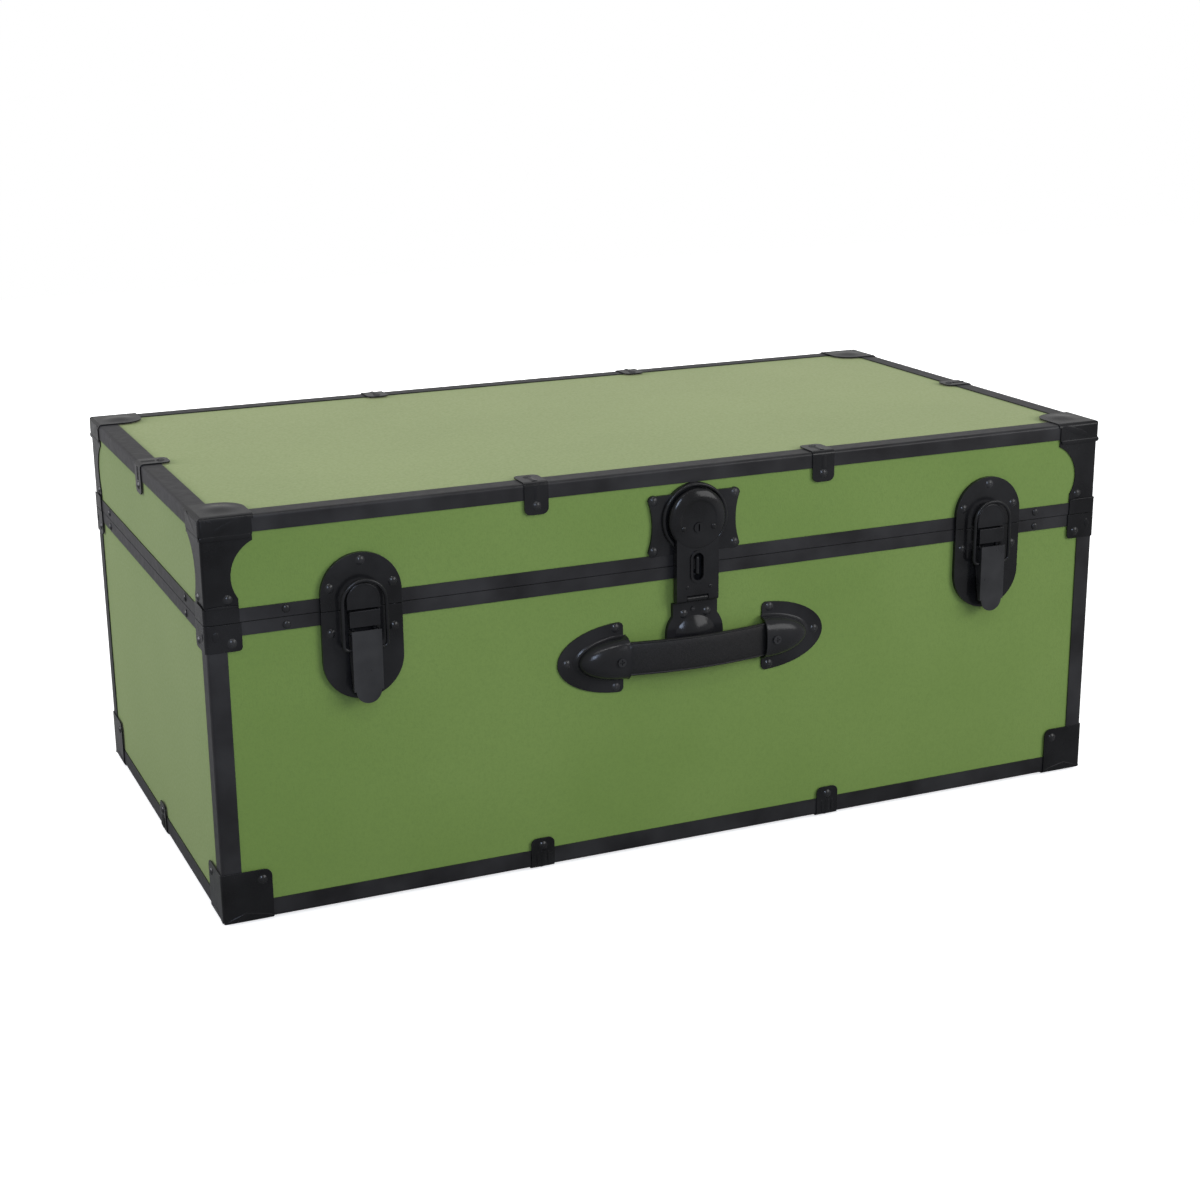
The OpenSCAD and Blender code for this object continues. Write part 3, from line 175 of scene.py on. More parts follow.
# %% [markdown]
# ## The lamps
# Large area lamps give the soft shadows and long gentle highlights of a studio. A lamp's shine is the share of its
# light that reflections may show, as a filter on a real lamp would do, so the black stays deep where greens are lit.

# %% Softboxes
def softbox(name, place, aim, width, height, watts, colour="#ffffff", shine=1.0):
    """An area lamp. Shine is the share of its light that shows in reflections; a twin lamp gives the rest."""
    for label, share in ((name, shine), (name + " without shine", 1 - shine)):
        if share <= 0:
            continue
        data = bpy.data.lights.new(label, "AREA")
        data.shape = "RECTANGLE"
        data.size, data.size_y = width, height
        data.energy = watts * share
        data.color = linear(colour)[:3]
        lamp = bpy.data.objects.new(label, data)
        lamp.location = place
        lamp.rotation_mode = "QUATERNION"
        lamp.rotation_quaternion = (Vector(aim) - Vector(place)).to_track_quat("-Z", "Y")
        lamp.visible_glossy = label == name
        bpy.context.collection.objects.link(lamp)


softbox("left panel", (-2.6, 0.9, 0.85), (0, 0, 0.15), 2.0, 1.6, 55, "#f8f8ff", 0.8)
softbox("overhead panel", (0.3, 0.9, 2.6), (0, 0, 0.3), 2.4, 1.8, 21, shine=0.5)
softbox("right front fill", (2.3, -2.7, 1.5), (0.1, 0, 0.15), 2.0, 1.6, 83, shine=0.38)
softbox("back fill", (0.5, 2.3, 0.27), (0, 0.2, 0.15), 2.2, 0.5, 28, shine=0.0)
softbox("front window", (-0.75, -2.7, 1.25), (0, 0, 0.2), 0.5, 0.9, 19, "#cfe0ff")
softbox("high strip", (0.0, -1.7, 2.2), (0, 0, 0.15), 1.3, 0.14, 6)

# %% [markdown]
# ## The floor
# The trunk stands on a white paper sweep. It is one flat square, lifted towards white for the camera only, so the
# contact shadow is all that shows of it.

# %% Floor
bm = bmesh.new()
bmesh.ops.create_grid(bm, x_segments=1, y_segments=1, size=3.2)
mesh = bpy.data.meshes.new("studio_floor")
bm.to_mesh(mesh)
bm.free()
floor = bpy.data.objects.new("studio_floor", mesh)
bpy.context.collection.objects.link(floor)
# White paper sweep: plain matte white for the camera, and dimmer for light that bounces up to the trunk.
paper = bpy.data.materials.new("White paper sweep")
paper.use_nodes = True
tree = paper.node_tree
tree.nodes.clear()
path = add(tree, "ShaderNodeLightPath")
matte = add(tree, "ShaderNodeBsdfDiffuse", Color=(0.8, 0.8, 0.8, 1))
lift = add(tree, "ShaderNodeEmission", Color=(1, 1, 1, 1), Strength=0.64)
lit = add(tree, "ShaderNodeAddShader", i0=matte, i1=lift)
dim = add(tree, "ShaderNodeBsdfDiffuse", Color=(0.3, 0.3, 0.3, 1))
mixed = add(tree, "ShaderNodeMixShader", Fac=path.outputs["Is Camera Ray"], i1=dim, i2=lit)
add(tree, "ShaderNodeOutputMaterial", Surface=mixed)
floor.data.materials.append(paper)
print("floor:", floor.name)

# %% [markdown]
# ## Finishes from real sizes
# Every finish here is a node material that reads the piece's own coordinates, and each of its patterns has a real
# size in millimetres. Noise of a few sizes is enough for sprayed, embossed or papered surfaces. A Map Range node
# carries the middle of a noise to the values wanted, and a Mix node lays one colour over another.

# %% A start for every finish
def new_material(name):
    """An empty node material, its node tree, and the place of each point on the piece."""
    material = bpy.data.materials.new(name)
    material.use_nodes = True
    tree = material.node_tree
    tree.nodes.clear()
    return material, tree, add(tree, "ShaderNodeTexCoord").outputs["Object"]


def per(size_mm):
    """The scale of a pattern whose lumps or cells are about size_mm wide."""
    return 1 / (size_mm * MM)


# A Mix node set to colours has its amount in i0, its two colours in i6 and i7, and its result in outputs[2].
COLOURS, SUM, PRODUCT = {"data_type": "RGBA"}, {"operation": "ADD"}, {"operation": "MULTIPLY"}

print("lumps 45 mm wide have a scale of", round(per(45), 2))

# %% [markdown]
# ## Black enamel on pressed steel
# The bindings, corners and fittings are stamped from thin sheet and sprayed with a semi-gloss black enamel. Sprayed
# enamel is nearly black, mirrors lamps softly, and dries with a faint orange-peel waviness a few millimetres wide.
# One noise of that width drives the bump. A broad one lets the gloss and the shade drift, and two finer ones give
# patches and dust. Where sheet turns over an edge the paint is thin and rubbed, so faces marked as edges are paler.

# %% Enamel material
def enamel(name, body, worn, gloss, peel_mm=2.4, peel=0.12, specular=0.36):
    """Sprayed enamel. gloss is the lowest and highest roughness."""
    material, tree, place = new_material(name)
    drift = add(tree, "ShaderNodeTexNoise", Vector=place, Scale=per(45), Detail=3)
    fine = add(tree, "ShaderNodeTexNoise", Vector=place, Scale=per(6), Detail=4)
    dust = add(tree, "ShaderNodeTexNoise", Vector=place, Scale=per(1.1), Detail=3, Roughness=0.6)
    waves = add(tree, "ShaderNodeTexNoise", Vector=place, Scale=per(peel_mm), Detail=1)
    fade = add(tree, "ShaderNodeMapRange", Value=drift, From_Min=0.3, From_Max=0.7, To_Max=0.5)
    tint = add(tree, "ShaderNodeMix", COLOURS, i0=fade, i6=body, i7=worn).outputs[2]
    specks = add(tree, "ShaderNodeMapRange", Value=dust, From_Min=0.60, From_Max=0.80, To_Max=0.22)
    dusty = add(tree, "ShaderNodeMix", COLOURS, i0=specks, i6=tint, i7=worn).outputs[2]
    edge = add(tree, "ShaderNodeAttribute", {"attribute_name": "edge"}).outputs["Fac"]
    patches = add(tree, "ShaderNodeMapRange", Value=fine, From_Min=0.36, From_Max=0.62)
    rubbed = add(tree, "ShaderNodeMath", PRODUCT, i0=edge, i1=patches)
    colour = add(tree, "ShaderNodeMix", COLOURS, i0=rubbed, i6=dusty, i7=worn).outputs[2]
    broad = add(tree, "ShaderNodeMapRange", Value=drift, From_Min=0.3, From_Max=0.7, To_Min=gloss[0], To_Max=gloss[1])
    small = add(tree, "ShaderNodeMapRange", Value=fine, From_Min=0.3, From_Max=0.7, To_Min=-0.03, To_Max=0.05)
    rough = add(tree, "ShaderNodeMath", SUM, i0=broad, i1=small)
    peeled = add(tree, "ShaderNodeBump", Strength=peel, Distance=0.2 * MM, Height=waves)
    shader = add(
        tree, "ShaderNodeBsdfPrincipled",
        Base_Color=colour, Roughness=rough, Normal=peeled, Specular_IOR_Level=specular,
    )
    add(tree, "ShaderNodeOutputMaterial", Surface=shader)
    return material


binding_enamel = enamel("Satin black enamel on roll-formed steel", "#141315", "#38383a", (0.34, 0.44))
corner_enamel = enamel("Semi-gloss black enamel on pressed corners", "#0d0d0e", "#29292b", (0.17, 0.26), 3.4, 0.2, 0.24)
fitting_enamel = enamel("Gloss black enamel on stamped fittings", "#101011", "#2e2e30", (0.13, 0.22), 2.8, 0.16, 0.28)
lever_enamel = enamel("Grey-black enamel on the latch levers", "#1c1c1e", "#484849", (0.26, 0.36), 2.8, 0.12)
rivet_enamel = enamel("Black enamel on rivet heads", "#141415", "#3c3c3e", (0.16, 0.24), 2.0, 0.05)
print("enamels:", [m.name for m in bpy.data.materials if "enamel" in m.name])

# %% [markdown]
# ## Green vinyl over board
# The boards wear a thin vinyl cloth, embossed with a fine leather-like grain and printed one even green. The
# emboss is a net of small pebbles under a millimetre across, too fine for a picture of the whole trunk, so it is
# drawn 1.5 mm wide. A slow change of shade keeps the large faces from looking flat, and a soft sheen whitens the
# green where it is seen at a glancing angle, as on the top and the left end.

# %% Vinyl material
def vinyl(name, body, light, dark, pebble_mm=1.5):
    material, tree, place = new_material(name)
    pebbles = add(
        tree, "ShaderNodeTexVoronoi", {"feature": "SMOOTH_F1"}, Vector=place, Scale=per(pebble_mm), Smoothness=0.6,
    )
    lumps = add(tree, "ShaderNodeTexNoise", Vector=place, Scale=per(2.4), Detail=3)
    cloud = add(tree, "ShaderNodeTexNoise", Vector=place, Scale=per(120), Detail=2)
    pale = add(tree, "ShaderNodeMapRange", Value=cloud, From_Min=0.3, From_Max=0.7, To_Max=0.6)
    shade = add(tree, "ShaderNodeMix", COLOURS, i0=pale, i6=body, i7=light).outputs[2]
    uneven = add(tree, "ShaderNodeMapRange", Value=lumps, From_Min=0.45, From_Max=0.75, To_Max=0.24)
    shade = add(tree, "ShaderNodeMix", COLOURS, i0=uneven, i6=shade, i7=dark).outputs[2]
    middles = add(tree, "ShaderNodeMapRange", Value=pebbles, From_Max=0.55, To_Min=0.30, To_Max=0.0)
    shade = add(tree, "ShaderNodeMix", COLOURS, i0=middles, i6=shade, i7=dark).outputs[2]
    rough = add(tree, "ShaderNodeMapRange", Value=lumps, From_Min=0.3, From_Max=0.7, To_Min=0.46, To_Max=0.58)
    raised = add(tree, "ShaderNodeMapRange", Value=pebbles, From_Max=0.6, To_Min=1.0, To_Max=0.0)
    swell = add(tree, "ShaderNodeMapRange", Value=lumps, To_Max=0.6)
    relief = add(tree, "ShaderNodeMath", SUM, i0=raised, i1=swell)
    embossed = add(tree, "ShaderNodeBump", Strength=0.35, Distance=0.12 * MM, Height=relief)
    shader = add(
        tree, "ShaderNodeBsdfPrincipled", Base_Color=shade, Roughness=rough, Normal=embossed, Specular_IOR_Level=0.4,
        Sheen_Weight=0.26, Sheen_Roughness=0.45, Sheen_Tint="#fff2d8",
    )
    add(tree, "ShaderNodeOutputMaterial", Surface=shader)
    return material


green_vinyl = vinyl("Green embossed vinyl on board", "#66803c", "#708846", "#587235")
print("vinyl:", green_vinyl.name)

# %% [markdown]
# ## Paper lining
# Inside, such trunks are papered. A warm off-white paper shows soft fibres, and nearly no shine.

# %% Paper material
def lining(name, body, fibre_colour, speck_colour):
    material, tree, place = new_material(name)
    stretch = add(tree, "ShaderNodeMapping", Vector=place, Scale=(1, 1, 5))
    fibre = add(tree, "ShaderNodeTexNoise", Vector=stretch, Scale=per(7), Detail=5, Roughness=0.65)
    speck = add(tree, "ShaderNodeTexNoise", Vector=place, Scale=per(1.6), Detail=4, Roughness=0.6)
    streaks = add(tree, "ShaderNodeMapRange", Value=fibre, From_Min=0.35, From_Max=0.7, To_Max=0.6)
    shade = add(tree, "ShaderNodeMix", COLOURS, i0=streaks, i6=body, i7=fibre_colour).outputs[2]
    spots = add(tree, "ShaderNodeMapRange", Value=speck, From_Min=0.55, From_Max=0.8, To_Max=0.3)
    shade = add(tree, "ShaderNodeMix", COLOURS, i0=spots, i6=shade, i7=speck_colour).outputs[2]
    rough = add(tree, "ShaderNodeMapRange", Value=fibre, To_Min=0.8, To_Max=0.92)
    felted = add(tree, "ShaderNodeBump", Strength=0.25, Distance=0.1 * MM, Height=fibre)
    shader = add(
        tree, "ShaderNodeBsdfPrincipled", Base_Color=shade, Roughness=rough, Normal=felted, Specular_IOR_Level=0.3,
    )
    add(tree, "ShaderNodeOutputMaterial", Surface=shader)
    return material


lining_paper = lining("Cream lining paper", "#d8d2c4", "#cbc3b1", "#b9b09c")
print("paper:", lining_paper.name)

# %% [markdown]
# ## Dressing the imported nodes
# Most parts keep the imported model's shape and only change their finish, so the finish is chosen by the node's name.

# %% Finish by node
def finish_of(name):
    if name.endswith("panel"):
        return green_vinyl
    if name.endswith("lining"):
        return lining_paper
    if "rivets" in name or "screws" in name:
        return rivet_enamel
    if "corner" in name:
        return corner_enamel
    if "lever" in name:
        return lever_enamel
    if "binding" in name or "strips" in name:
        return binding_enamel
    return fitting_enamel


for name, node in nodes.items():
    node.data.materials.clear()
    node.data.materials.append(finish_of(name))
print("dressed nodes:", len(nodes))

# %% [markdown]
# ## From a bmesh to a piece
# Every modelled piece ends the same way: its mesh goes into an object at the origin, its faces are smoothed except
# across sharp edges, its normals are weighted by face size so that large flats stay flat beside small bevels, and
# it rides on a body of the frame. One function does this, and another turns handle or lock coordinates into
# metres: x to the right, y up and out away from the front board.

# %% Piece helpers
def on_front(x, up, out, centre_x=0.0, centre_z=0.0):
    """A place in millimetres across, up and out of the front board, as metres in the frame."""
    return Vector((centre_x + x * MM, BOARD_FRONT - out * MM, centre_z + up * MM))


def piece(name, bm, material, body, replaced=(), sharp=38, outward=True):
    if outward:
        bmesh.ops.recalc_face_normals(bm, faces=bm.faces)
    mesh = bpy.data.meshes.new(name)
    bm.to_mesh(mesh)
    bm.free()
    mesh.materials.append(material)
    mesh.shade_smooth()
    mesh.set_sharp_from_angle(angle=math.radians(sharp))
    made = bpy.data.objects.new(name, mesh)
    bpy.context.collection.objects.link(made)
    weigh = made.modifiers.new("weighted normals", "WEIGHTED_NORMAL")
    weigh.keep_sharp = True
    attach(made, body)
    if replaced:
        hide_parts(*replaced)
    return made


def short(box):
    """A box's two corners, rounded for print."""
    return [[round(v, 4) for v in corner] for corner in box]


def corners_of(made):
    return short([made.bound_box[k] for k in (0, 6)])


# %% [markdown]
# ## Rounded edges on stamped sheet
# A punch leaves every edge of sheet steel slightly rounded, and enamel rounds it more, so each edge catches a thin
# line of light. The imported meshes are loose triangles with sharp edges. A copy is merged, its flat triangles are
# dissolved into whole faces, and the edges that turn by more than thirty degrees are bevelled. The faces that the
# bevel makes carry the value 1 in an attribute named edge, which the enamel reads to look rubbed there.

# %% Round a copy of a node
def merged_copy(name):
    bm = bmesh.new()
    bm.from_mesh(nodes[name].data)
    bmesh.ops.remove_doubles(bm, verts=bm.verts, dist=0.003 * MM)
    bmesh.ops.dissolve_limit(bm, angle_limit=math.radians(0.8), verts=bm.verts, edges=bm.edges)
    return bm


def round_edges(bm, radius, turn=30, segments=2):
    edges = [e for e in bm.edges if len(e.link_faces) == 2 and e.calc_face_angle(0) > math.radians(turn)]
    mark = bm.faces.layers.float.get("edge") or bm.faces.layers.float.new("edge")
    made = bmesh.ops.bevel(
        bm, geom=edges, offset=radius * MM, segments=segments, profile=0.5, affect="EDGES", material=-1,
        clamp_overlap=True, loop_slide=True,
    )
    for face in made["faces"]:
        face[mark] = 1.0
    return len(made["faces"])


def rounded_node(name, radius, material=None, sharp=38):
    bm = merged_copy(name)
    count = round_edges(bm, radius)
    made = piece(
        name + "_rounded", bm, material or finish_of(name), nodes[name]["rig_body"], [name],
        sharp=sharp, outward=False,
    )
    print(name, "bevel faces:", count, "triangles:", sum(len(p.vertices) - 2 for p in made.data.polygons))
    return made


for side in LATCHES:
    for part in ("lid_plate", "base_plate", "keeper", "bracket"):
        rounded_node(f"{side}_latch_{part}", 0.35)
    rounded_node(f"{side}_latch_lever", 0.4)
rounded_node("lock_plate", 0.35)
rounded_node("hasp_base_plate", 0.35)
rounded_node("lid_rim_binding", 0.45)
rounded_node("base_rim_binding", 0.45)
rounded_node("lid_edge_clamps", 0.25)
rounded_node("base_edge_clamps", 0.25)

# %% [markdown]
# ## The leather strap
# The handle is a firm strap of black grained leather, bowed out between two steel caps, with a thin turned and
# bound edge along its top and bottom. Its cut across is the same all along, so one outline of that cut is spun
# round the centre of the bow. The outer face is slightly crowned, a groove runs beside each edge, and the bound
# edge is a small bead. The leather comes first: its grain is a net of pebbles, with painted shade in the fine creases
# between them.

# %% Leather material
def leather(name, body, dusty, crease_shade, pebble_mm=1.05):
    material, tree, place = new_material(name)
    pebbles = add(
        tree, "ShaderNodeTexVoronoi", {"feature": "DISTANCE_TO_EDGE"}, Vector=place, Scale=per(pebble_mm),
    )
    lumps = add(tree, "ShaderNodeTexNoise", Vector=place, Scale=per(5), Detail=3)
    dust = add(tree, "ShaderNodeTexNoise", Vector=place, Scale=per(0.9), Detail=3, Roughness=0.7)
    specks = add(tree, "ShaderNodeMapRange", Value=dust, From_Min=0.56, From_Max=0.74, To_Max=0.38)
    shade = add(tree, "ShaderNodeMix", COLOURS, i0=specks, i6=body, i7=dusty).outputs[2]
    # Painted shade: the creases between the pebbles are coloured near-black, as the shade that falls in them.
    flat = add(tree, "ShaderNodeMapRange", Value=pebbles, From_Max=0.22)
    shade = add(tree, "ShaderNodeMix", COLOURS, i0=flat, i6=crease_shade, i7=shade).outputs[2]
    rough = add(tree, "ShaderNodeMapRange", Value=lumps, From_Min=0.3, From_Max=0.7, To_Min=0.40, To_Max=0.56)
    swell = add(tree, "ShaderNodeMapRange", Value=lumps, To_Max=0.7)
    relief = add(tree, "ShaderNodeMath", SUM, i0=flat, i1=swell)
    grained = add(tree, "ShaderNodeBump", Strength=0.38, Distance=0.12 * MM, Height=relief)
    shader = add(
        tree, "ShaderNodeBsdfPrincipled", Base_Color=shade, Roughness=rough, Normal=grained, Specular_IOR_Level=0.36,
    )
    add(tree, "ShaderNodeOutputMaterial", Surface=shader)
    return material


black_leather = leather("Black pebble-grained leather", "#1b1a1b", "#434142", "#0c0c0c")
print("leather:", black_leather.name)

# %% [markdown]
# ## Spinning the strap
# The bow of the strap is part of a circle that lies level, so the outline is set at the strap's left end and spun
# about an upright axis through the middle of that circle. The two open ends are filled, out of sight in the caps.

# %% Strap
BOW = 264.9  # radius of the bow, in millimetres
CROWN = 17  # how far the middle of the strap stands out of the board
REACH = 74.3  # from the middle of the strap to its end
HANDLE_Z = 165 * MM


def strap_outline():
    """The cut across the strap as (up, depth below the outer face) in millimetres, round its whole edge."""
    bead = [(11.9, 0.95), (12.3, 0.5), (12.8, 0.35), (13.25, 0.6), (13.5, 1.3), (13.5, 2.7), (13.2, 3.4), (12.4, 3.8)]
    face = [(0, 0.1), (4, 0.14), (7.5, 0.28), (10, 0.5), (11.3, 0.8)]
    half = face + bead + [(6, 3.95), (0, 4.0)]
    return half + [(-up, depth) for up, depth in reversed(half[1:-1])]


bm = bmesh.new()
reach = math.asin(REACH / BOW)
axis = on_front(0, 0, CROWN - BOW, FITTINGS_X, HANDLE_Z)
ring = []
for up, depth in strap_outline():
    across, out = -math.sin(reach) * (BOW - depth), CROWN - BOW + math.cos(reach) * (BOW - depth)
    ring.append(bm.verts.new(on_front(across, up, out, FITTINGS_X, HANDLE_Z)))
edges = [bm.edges.new((a, b)) for a, b in zip(ring, ring[1:] + ring[:1])]
bmesh.ops.spin(bm, geom=ring + edges, cent=axis, axis=(0, 0, 1), angle=2 * reach, steps=56, use_duplicate=False)
bmesh.ops.holes_fill(bm, edges=[e for e in bm.edges if e.is_boundary], sides=0)
strap = piece("leather_strap", bm, black_leather, "base", ["handle_strap"], sharp=60)

# %% [markdown]
# ## The handle caps
# Each cap is one pressing: a half-oval flange riveted to the board, and a bullet-shaped dome that swallows the end
# of the strap. The dome is a quarter of a squarish egg, so its side line is spun half a turn and then stretched to
# the cap's length and width. The side line ends in a small hollow sweep, because pressed sheet can't turn a sharp
# inside corner. A rolled lip strengthens the mouth, and the solidify operator gives the shell its thickness. The
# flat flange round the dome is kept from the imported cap.

# %% Caps
DOME_L, DOME_W, DOME_H, MOUTH_X = 39, 34, 14, 60.5  # the dome's length, width and height, and where it opens
SHEET = 1.2


def egg_side(power=2.7, count=14):
    """(share of the radius, share of the height) from the crown to the flange."""
    turns = [math.pi / 2 * k / count for k in range(count)]
    side = [(math.sin(a) ** (2 / power), math.cos(a) ** (2 / power)) for a in turns]
    return [(0.0, 1.0)] + side[1:] + [(0.985, 0.19), (1.0, 0.12), (1.035, 0.05), (1.09, 0.01)]


UPRIGHT = Matrix(((1, 0, 0), (0, 0, -1), (0, 1, 0))).to_4x4()


def dome_bm(side):
    bm = bmesh.new()
    line = [bm.verts.new((0, r, h)) for r, h in egg_side()]
    edges = [bm.edges.new(pair) for pair in zip(line, line[1:])]
    bmesh.ops.spin(bm, geom=line + edges, cent=(0, 0, 0), axis=(0, 0, 1), angle=-side * math.pi, steps=40)
    bmesh.ops.remove_doubles(bm, verts=bm.verts, dist=1e-4)
    open_edges = [e for e in bm.edges if e.is_boundary]
    rim = [e for e in open_edges if all(abs(v.co.x) < 1e-4 and v.co.z > 0.02 for v in e.verts)]
    lip = bmesh.ops.extrude_edge_only(bm, edges=rim)
    lip_verts = [v for v in lip["geom"] if isinstance(v, bmesh.types.BMVert)]
    bmesh.ops.translate(bm, verts=lip_verts, vec=(-side * 0.04, 0, 0))
    bmesh.ops.scale(bm, verts=lip_verts, vec=(1, 1.035, 1.03))
    bmesh.ops.scale(bm, verts=bm.verts, vec=(DOME_L * MM, DOME_W / 2 * MM, (DOME_H - SHEET) * MM))
    bmesh.ops.transform(bm, matrix=UPRIGHT, verts=bm.verts)
    bmesh.ops.translate(bm, verts=bm.verts, vec=on_front(side * MOUTH_X, 0, SHEET, FITTINGS_X, HANDLE_Z))
    return bm


def flange_bm(label):
    """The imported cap's flange: its rim rounded and its dome taken off."""
    bm = merged_copy(f"{label}_handle_cap")
    round_edges(bm, 0.4)
    limit = BOARD_FRONT - (SHEET + 0.1) * MM
    high = [f for f in bm.faces if f.calc_center_median().y < limit]
    bmesh.ops.delete(bm, geom=high, context="FACES")
    return bm


def join_into(bm, other):
    """Adds another bmesh to bm and frees it."""
    spare = bpy.data.meshes.new("spare")
    other.to_mesh(spare)
    other.free()
    bm.from_mesh(spare)
    bpy.data.meshes.remove(spare)


for side, label in ((-1, "left"), (1, "right")):
    flange = flange_bm(label)
    dome = dome_bm(side)
    bmesh.ops.recalc_face_normals(dome, faces=dome.faces)
    crown = max(dome.faces, key=lambda f: -f.calc_center_median().y)
    if crown.normal.y > 0:
        bmesh.ops.reverse_faces(dome, faces=dome.faces)
    bmesh.ops.solidify(dome, geom=dome.faces[:], thickness=0.9 * MM)
    join_into(dome, flange)
    cap = piece(f"{label}_pressed_cap", dome, fitting_enamel, "base", [f"{label}_handle_cap"], sharp=50, outward=False)

# %% [markdown]
# ## The hasp
# The hasp is one deep pressing: a round head with a domed shoulder and a shallow round step, and a flat neck with a
# slot for the staple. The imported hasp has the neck, the slot and the hinge lugs right, so a rounded copy keeps
# them, and only its head is taken off. The new head's side line is spun a full turn round the head's middle, and
# the shoulder is let down at the bottom, where the flat of the head runs on into the neck. The plate inside the
# step has to leave the key plug's hole free, and the plug sits below the middle, so a ring is set round the plug
# and the flat between the two loops is filled.

# %% Hasp head
HEAD_UP, PLUG_UP = 37, 30.8  # the middles of the head and of the key plug above the seam
HEAD_R, STEP_R, PLUG_R = 24, 13.6, 4.25
NECK_OUT, FLAT_OUT = 8.6, 9.7  # how far the neck and the flat inside the step stand out of the board


def low_dome(bm, centre, radius, height):
    """A low round boss on the front, with its foot at centre."""
    made = bmesh.ops.create_uvsphere(bm, u_segments=24, v_segments=12, radius=1)
    bmesh.ops.scale(bm, verts=made["verts"], vec=(radius * MM, height * MM, radius * MM))
    bmesh.ops.translate(bm, verts=made["verts"], vec=centre)


def hasp_head():
    bm = bmesh.new()
    side = [(HEAD_R, 5.6), (HEAD_R, 7.2), (23.7, 7.9), (23.0, 8.5), (21.6, 9.2), (19.6, 9.85), (17.6, 10.3)]
    side += [(16.2, 10.4), (15.5, 10.3), (15.0, 10.05), (14.5, 9.8), (STEP_R, FLAT_OUT)]
    line = [bm.verts.new(on_front(0, HEAD_UP + r, out, FITTINGS_X, SEAM)) for r, out in side]
    edges = [bm.edges.new(pair) for pair in zip(line, line[1:])]
    middle = on_front(0, HEAD_UP, 0, FITTINGS_X, SEAM)
    bmesh.ops.spin(bm, geom=line + edges, cent=middle, axis=(0, 1, 0), angle=2 * math.pi, steps=72, use_merge=True)
    bmesh.ops.remove_doubles(bm, verts=bm.verts, dist=0.001 * MM)
    for v in bm.verts:
        r, out = (v.co.xz - middle.xz).length / MM, (BOARD_FRONT - v.co.y) / MM
        low = min(out, NECK_OUT + (FLAT_OUT - NECK_OUT) * (HEAD_R - r) / (HEAD_R - STEP_R))
        fade = min(1, max(0, (middle.z - v.co.z) / MM / r - 0.2) / 0.5)
        v.co.y = BOARD_FRONT - (out + (low - out) * fade * fade * (3 - 2 * fade)) * MM
    inner = [e for e in bm.edges if e.is_boundary and (e.verts[0].co.xz - middle.xz).length < 15 * MM]
    hole = bmesh.ops.create_circle(bm, segments=72, radius=PLUG_R * MM)
    bmesh.ops.transform(bm, matrix=UPRIGHT, verts=hole["verts"])
    bmesh.ops.translate(bm, verts=hole["verts"], vec=on_front(0, PLUG_UP, FLAT_OUT, FITTINGS_X, SEAM))
    plug_loop = list({e for v in hole["verts"] for e in v.link_edges})
    bmesh.ops.triangle_fill(bm, edges=inner + plug_loop, use_beauty=True)
    bmesh.ops.recalc_face_normals(bm, faces=bm.faces)
    if max(bm.faces, key=lambda f: -f.calc_center_median().y).normal.y > 0:
        bmesh.ops.reverse_faces(bm, faces=bm.faces)
    for x in (-12.8, 12.8):
        low_dome(bm, on_front(x, PLUG_UP, 9.4, FITTINGS_X, SEAM), 2.4, 1.5)
    for x, up in ((-8.9, -16.5), (10.8, -17.2)):
        low_dome(bm, on_front(x, up, 8.5, FITTINGS_X, SEAM), 1.6, 0.8)
    return bm


hasp = merged_copy("hasp")
round_edges(hasp, 0.3)
centre = on_front(0, HEAD_UP, 0, FITTINGS_X, SEAM)
in_front = [f for f in hasp.faces if f.calc_center_median().y < BOARD_FRONT - (NECK_OUT + 0.02) * MM]
doomed = [f for f in in_front if (f.calc_center_median().xz - centre.xz).length < (HEAD_R + 0.3) * MM]
bmesh.ops.delete(hasp, geom=doomed, context="FACES")
join_into(hasp, hasp_head())
piece("hasp_pressing", hasp, fitting_enamel, "hasp", ["hasp"], sharp=42, outward=False)
print("hasp: faces taken off the packed head", len(doomed))

# %% [markdown]
# ## Small parts of the lock and the latches
# A small slotted screw holds the hasp's base plate, and a bead is pressed along the round top of each keeper. The
# bead is a row of short round bars along an arc, flattened against the sheet.

# %% Ridges
def ridge(bm, points, outward, width, height, segments=10):
    """Round bars from point to point, width millimetres wide and standing height out of the sheet."""
    for a, b in zip(points, points[1:]):
        along = b - a
        across = along.cross(outward).normalized()
        bar = bmesh.ops.create_cone(bm, cap_ends=True, segments=segments, radius1=1, radius2=1, depth=1)["verts"]
        longer = along * (1 + 0.2 * MM / along.length)
        shape = Matrix((across * width / 2 * MM, outward * height * MM, longer)).transposed().to_4x4()
        bmesh.ops.transform(bm, matrix=Matrix.Translation((a + b) / 2) @ shape, verts=bar)


OUT = Vector((0, -1, 0))
for side, x in LATCHES.items():
    bead = bmesh.new()
    arc = [(11.7 * math.cos(a), 7.0 + 11.7 * math.sin(a)) for a in (math.pi * k / 18 for k in range(19))]
    path = [(11.7, 1.2)] + arc + [(-11.7, 1.2)]
    ridge(bead, [on_front(px, up, 8.58, x, SEAM) for px, up in path], OUT, 1.5, 0.24)
    piece(f"{side}_keeper_bead", bead, fitting_enamel, "lid", sharp=60)

screw = bmesh.new()
bmesh.ops.create_cone(screw, cap_ends=True, segments=32, radius1=2.0 * MM, radius2=1.8 * MM, depth=1.2 * MM)
bmesh.ops.transform(screw, matrix=UPRIGHT, verts=screw.verts)
bmesh.ops.translate(screw, verts=screw.verts, vec=on_front(-2, -35.3, 4.3, FITTINGS_X, SEAM))
ridge(screw, [on_front(x, -35.3, 4.9, FITTINGS_X, SEAM) for x in (-3.4, -0.6)], OUT, 0.7, 0.22)
piece("hasp_plate_screw", screw, rivet_enamel, "base")
print("keeper beads and a screw added")

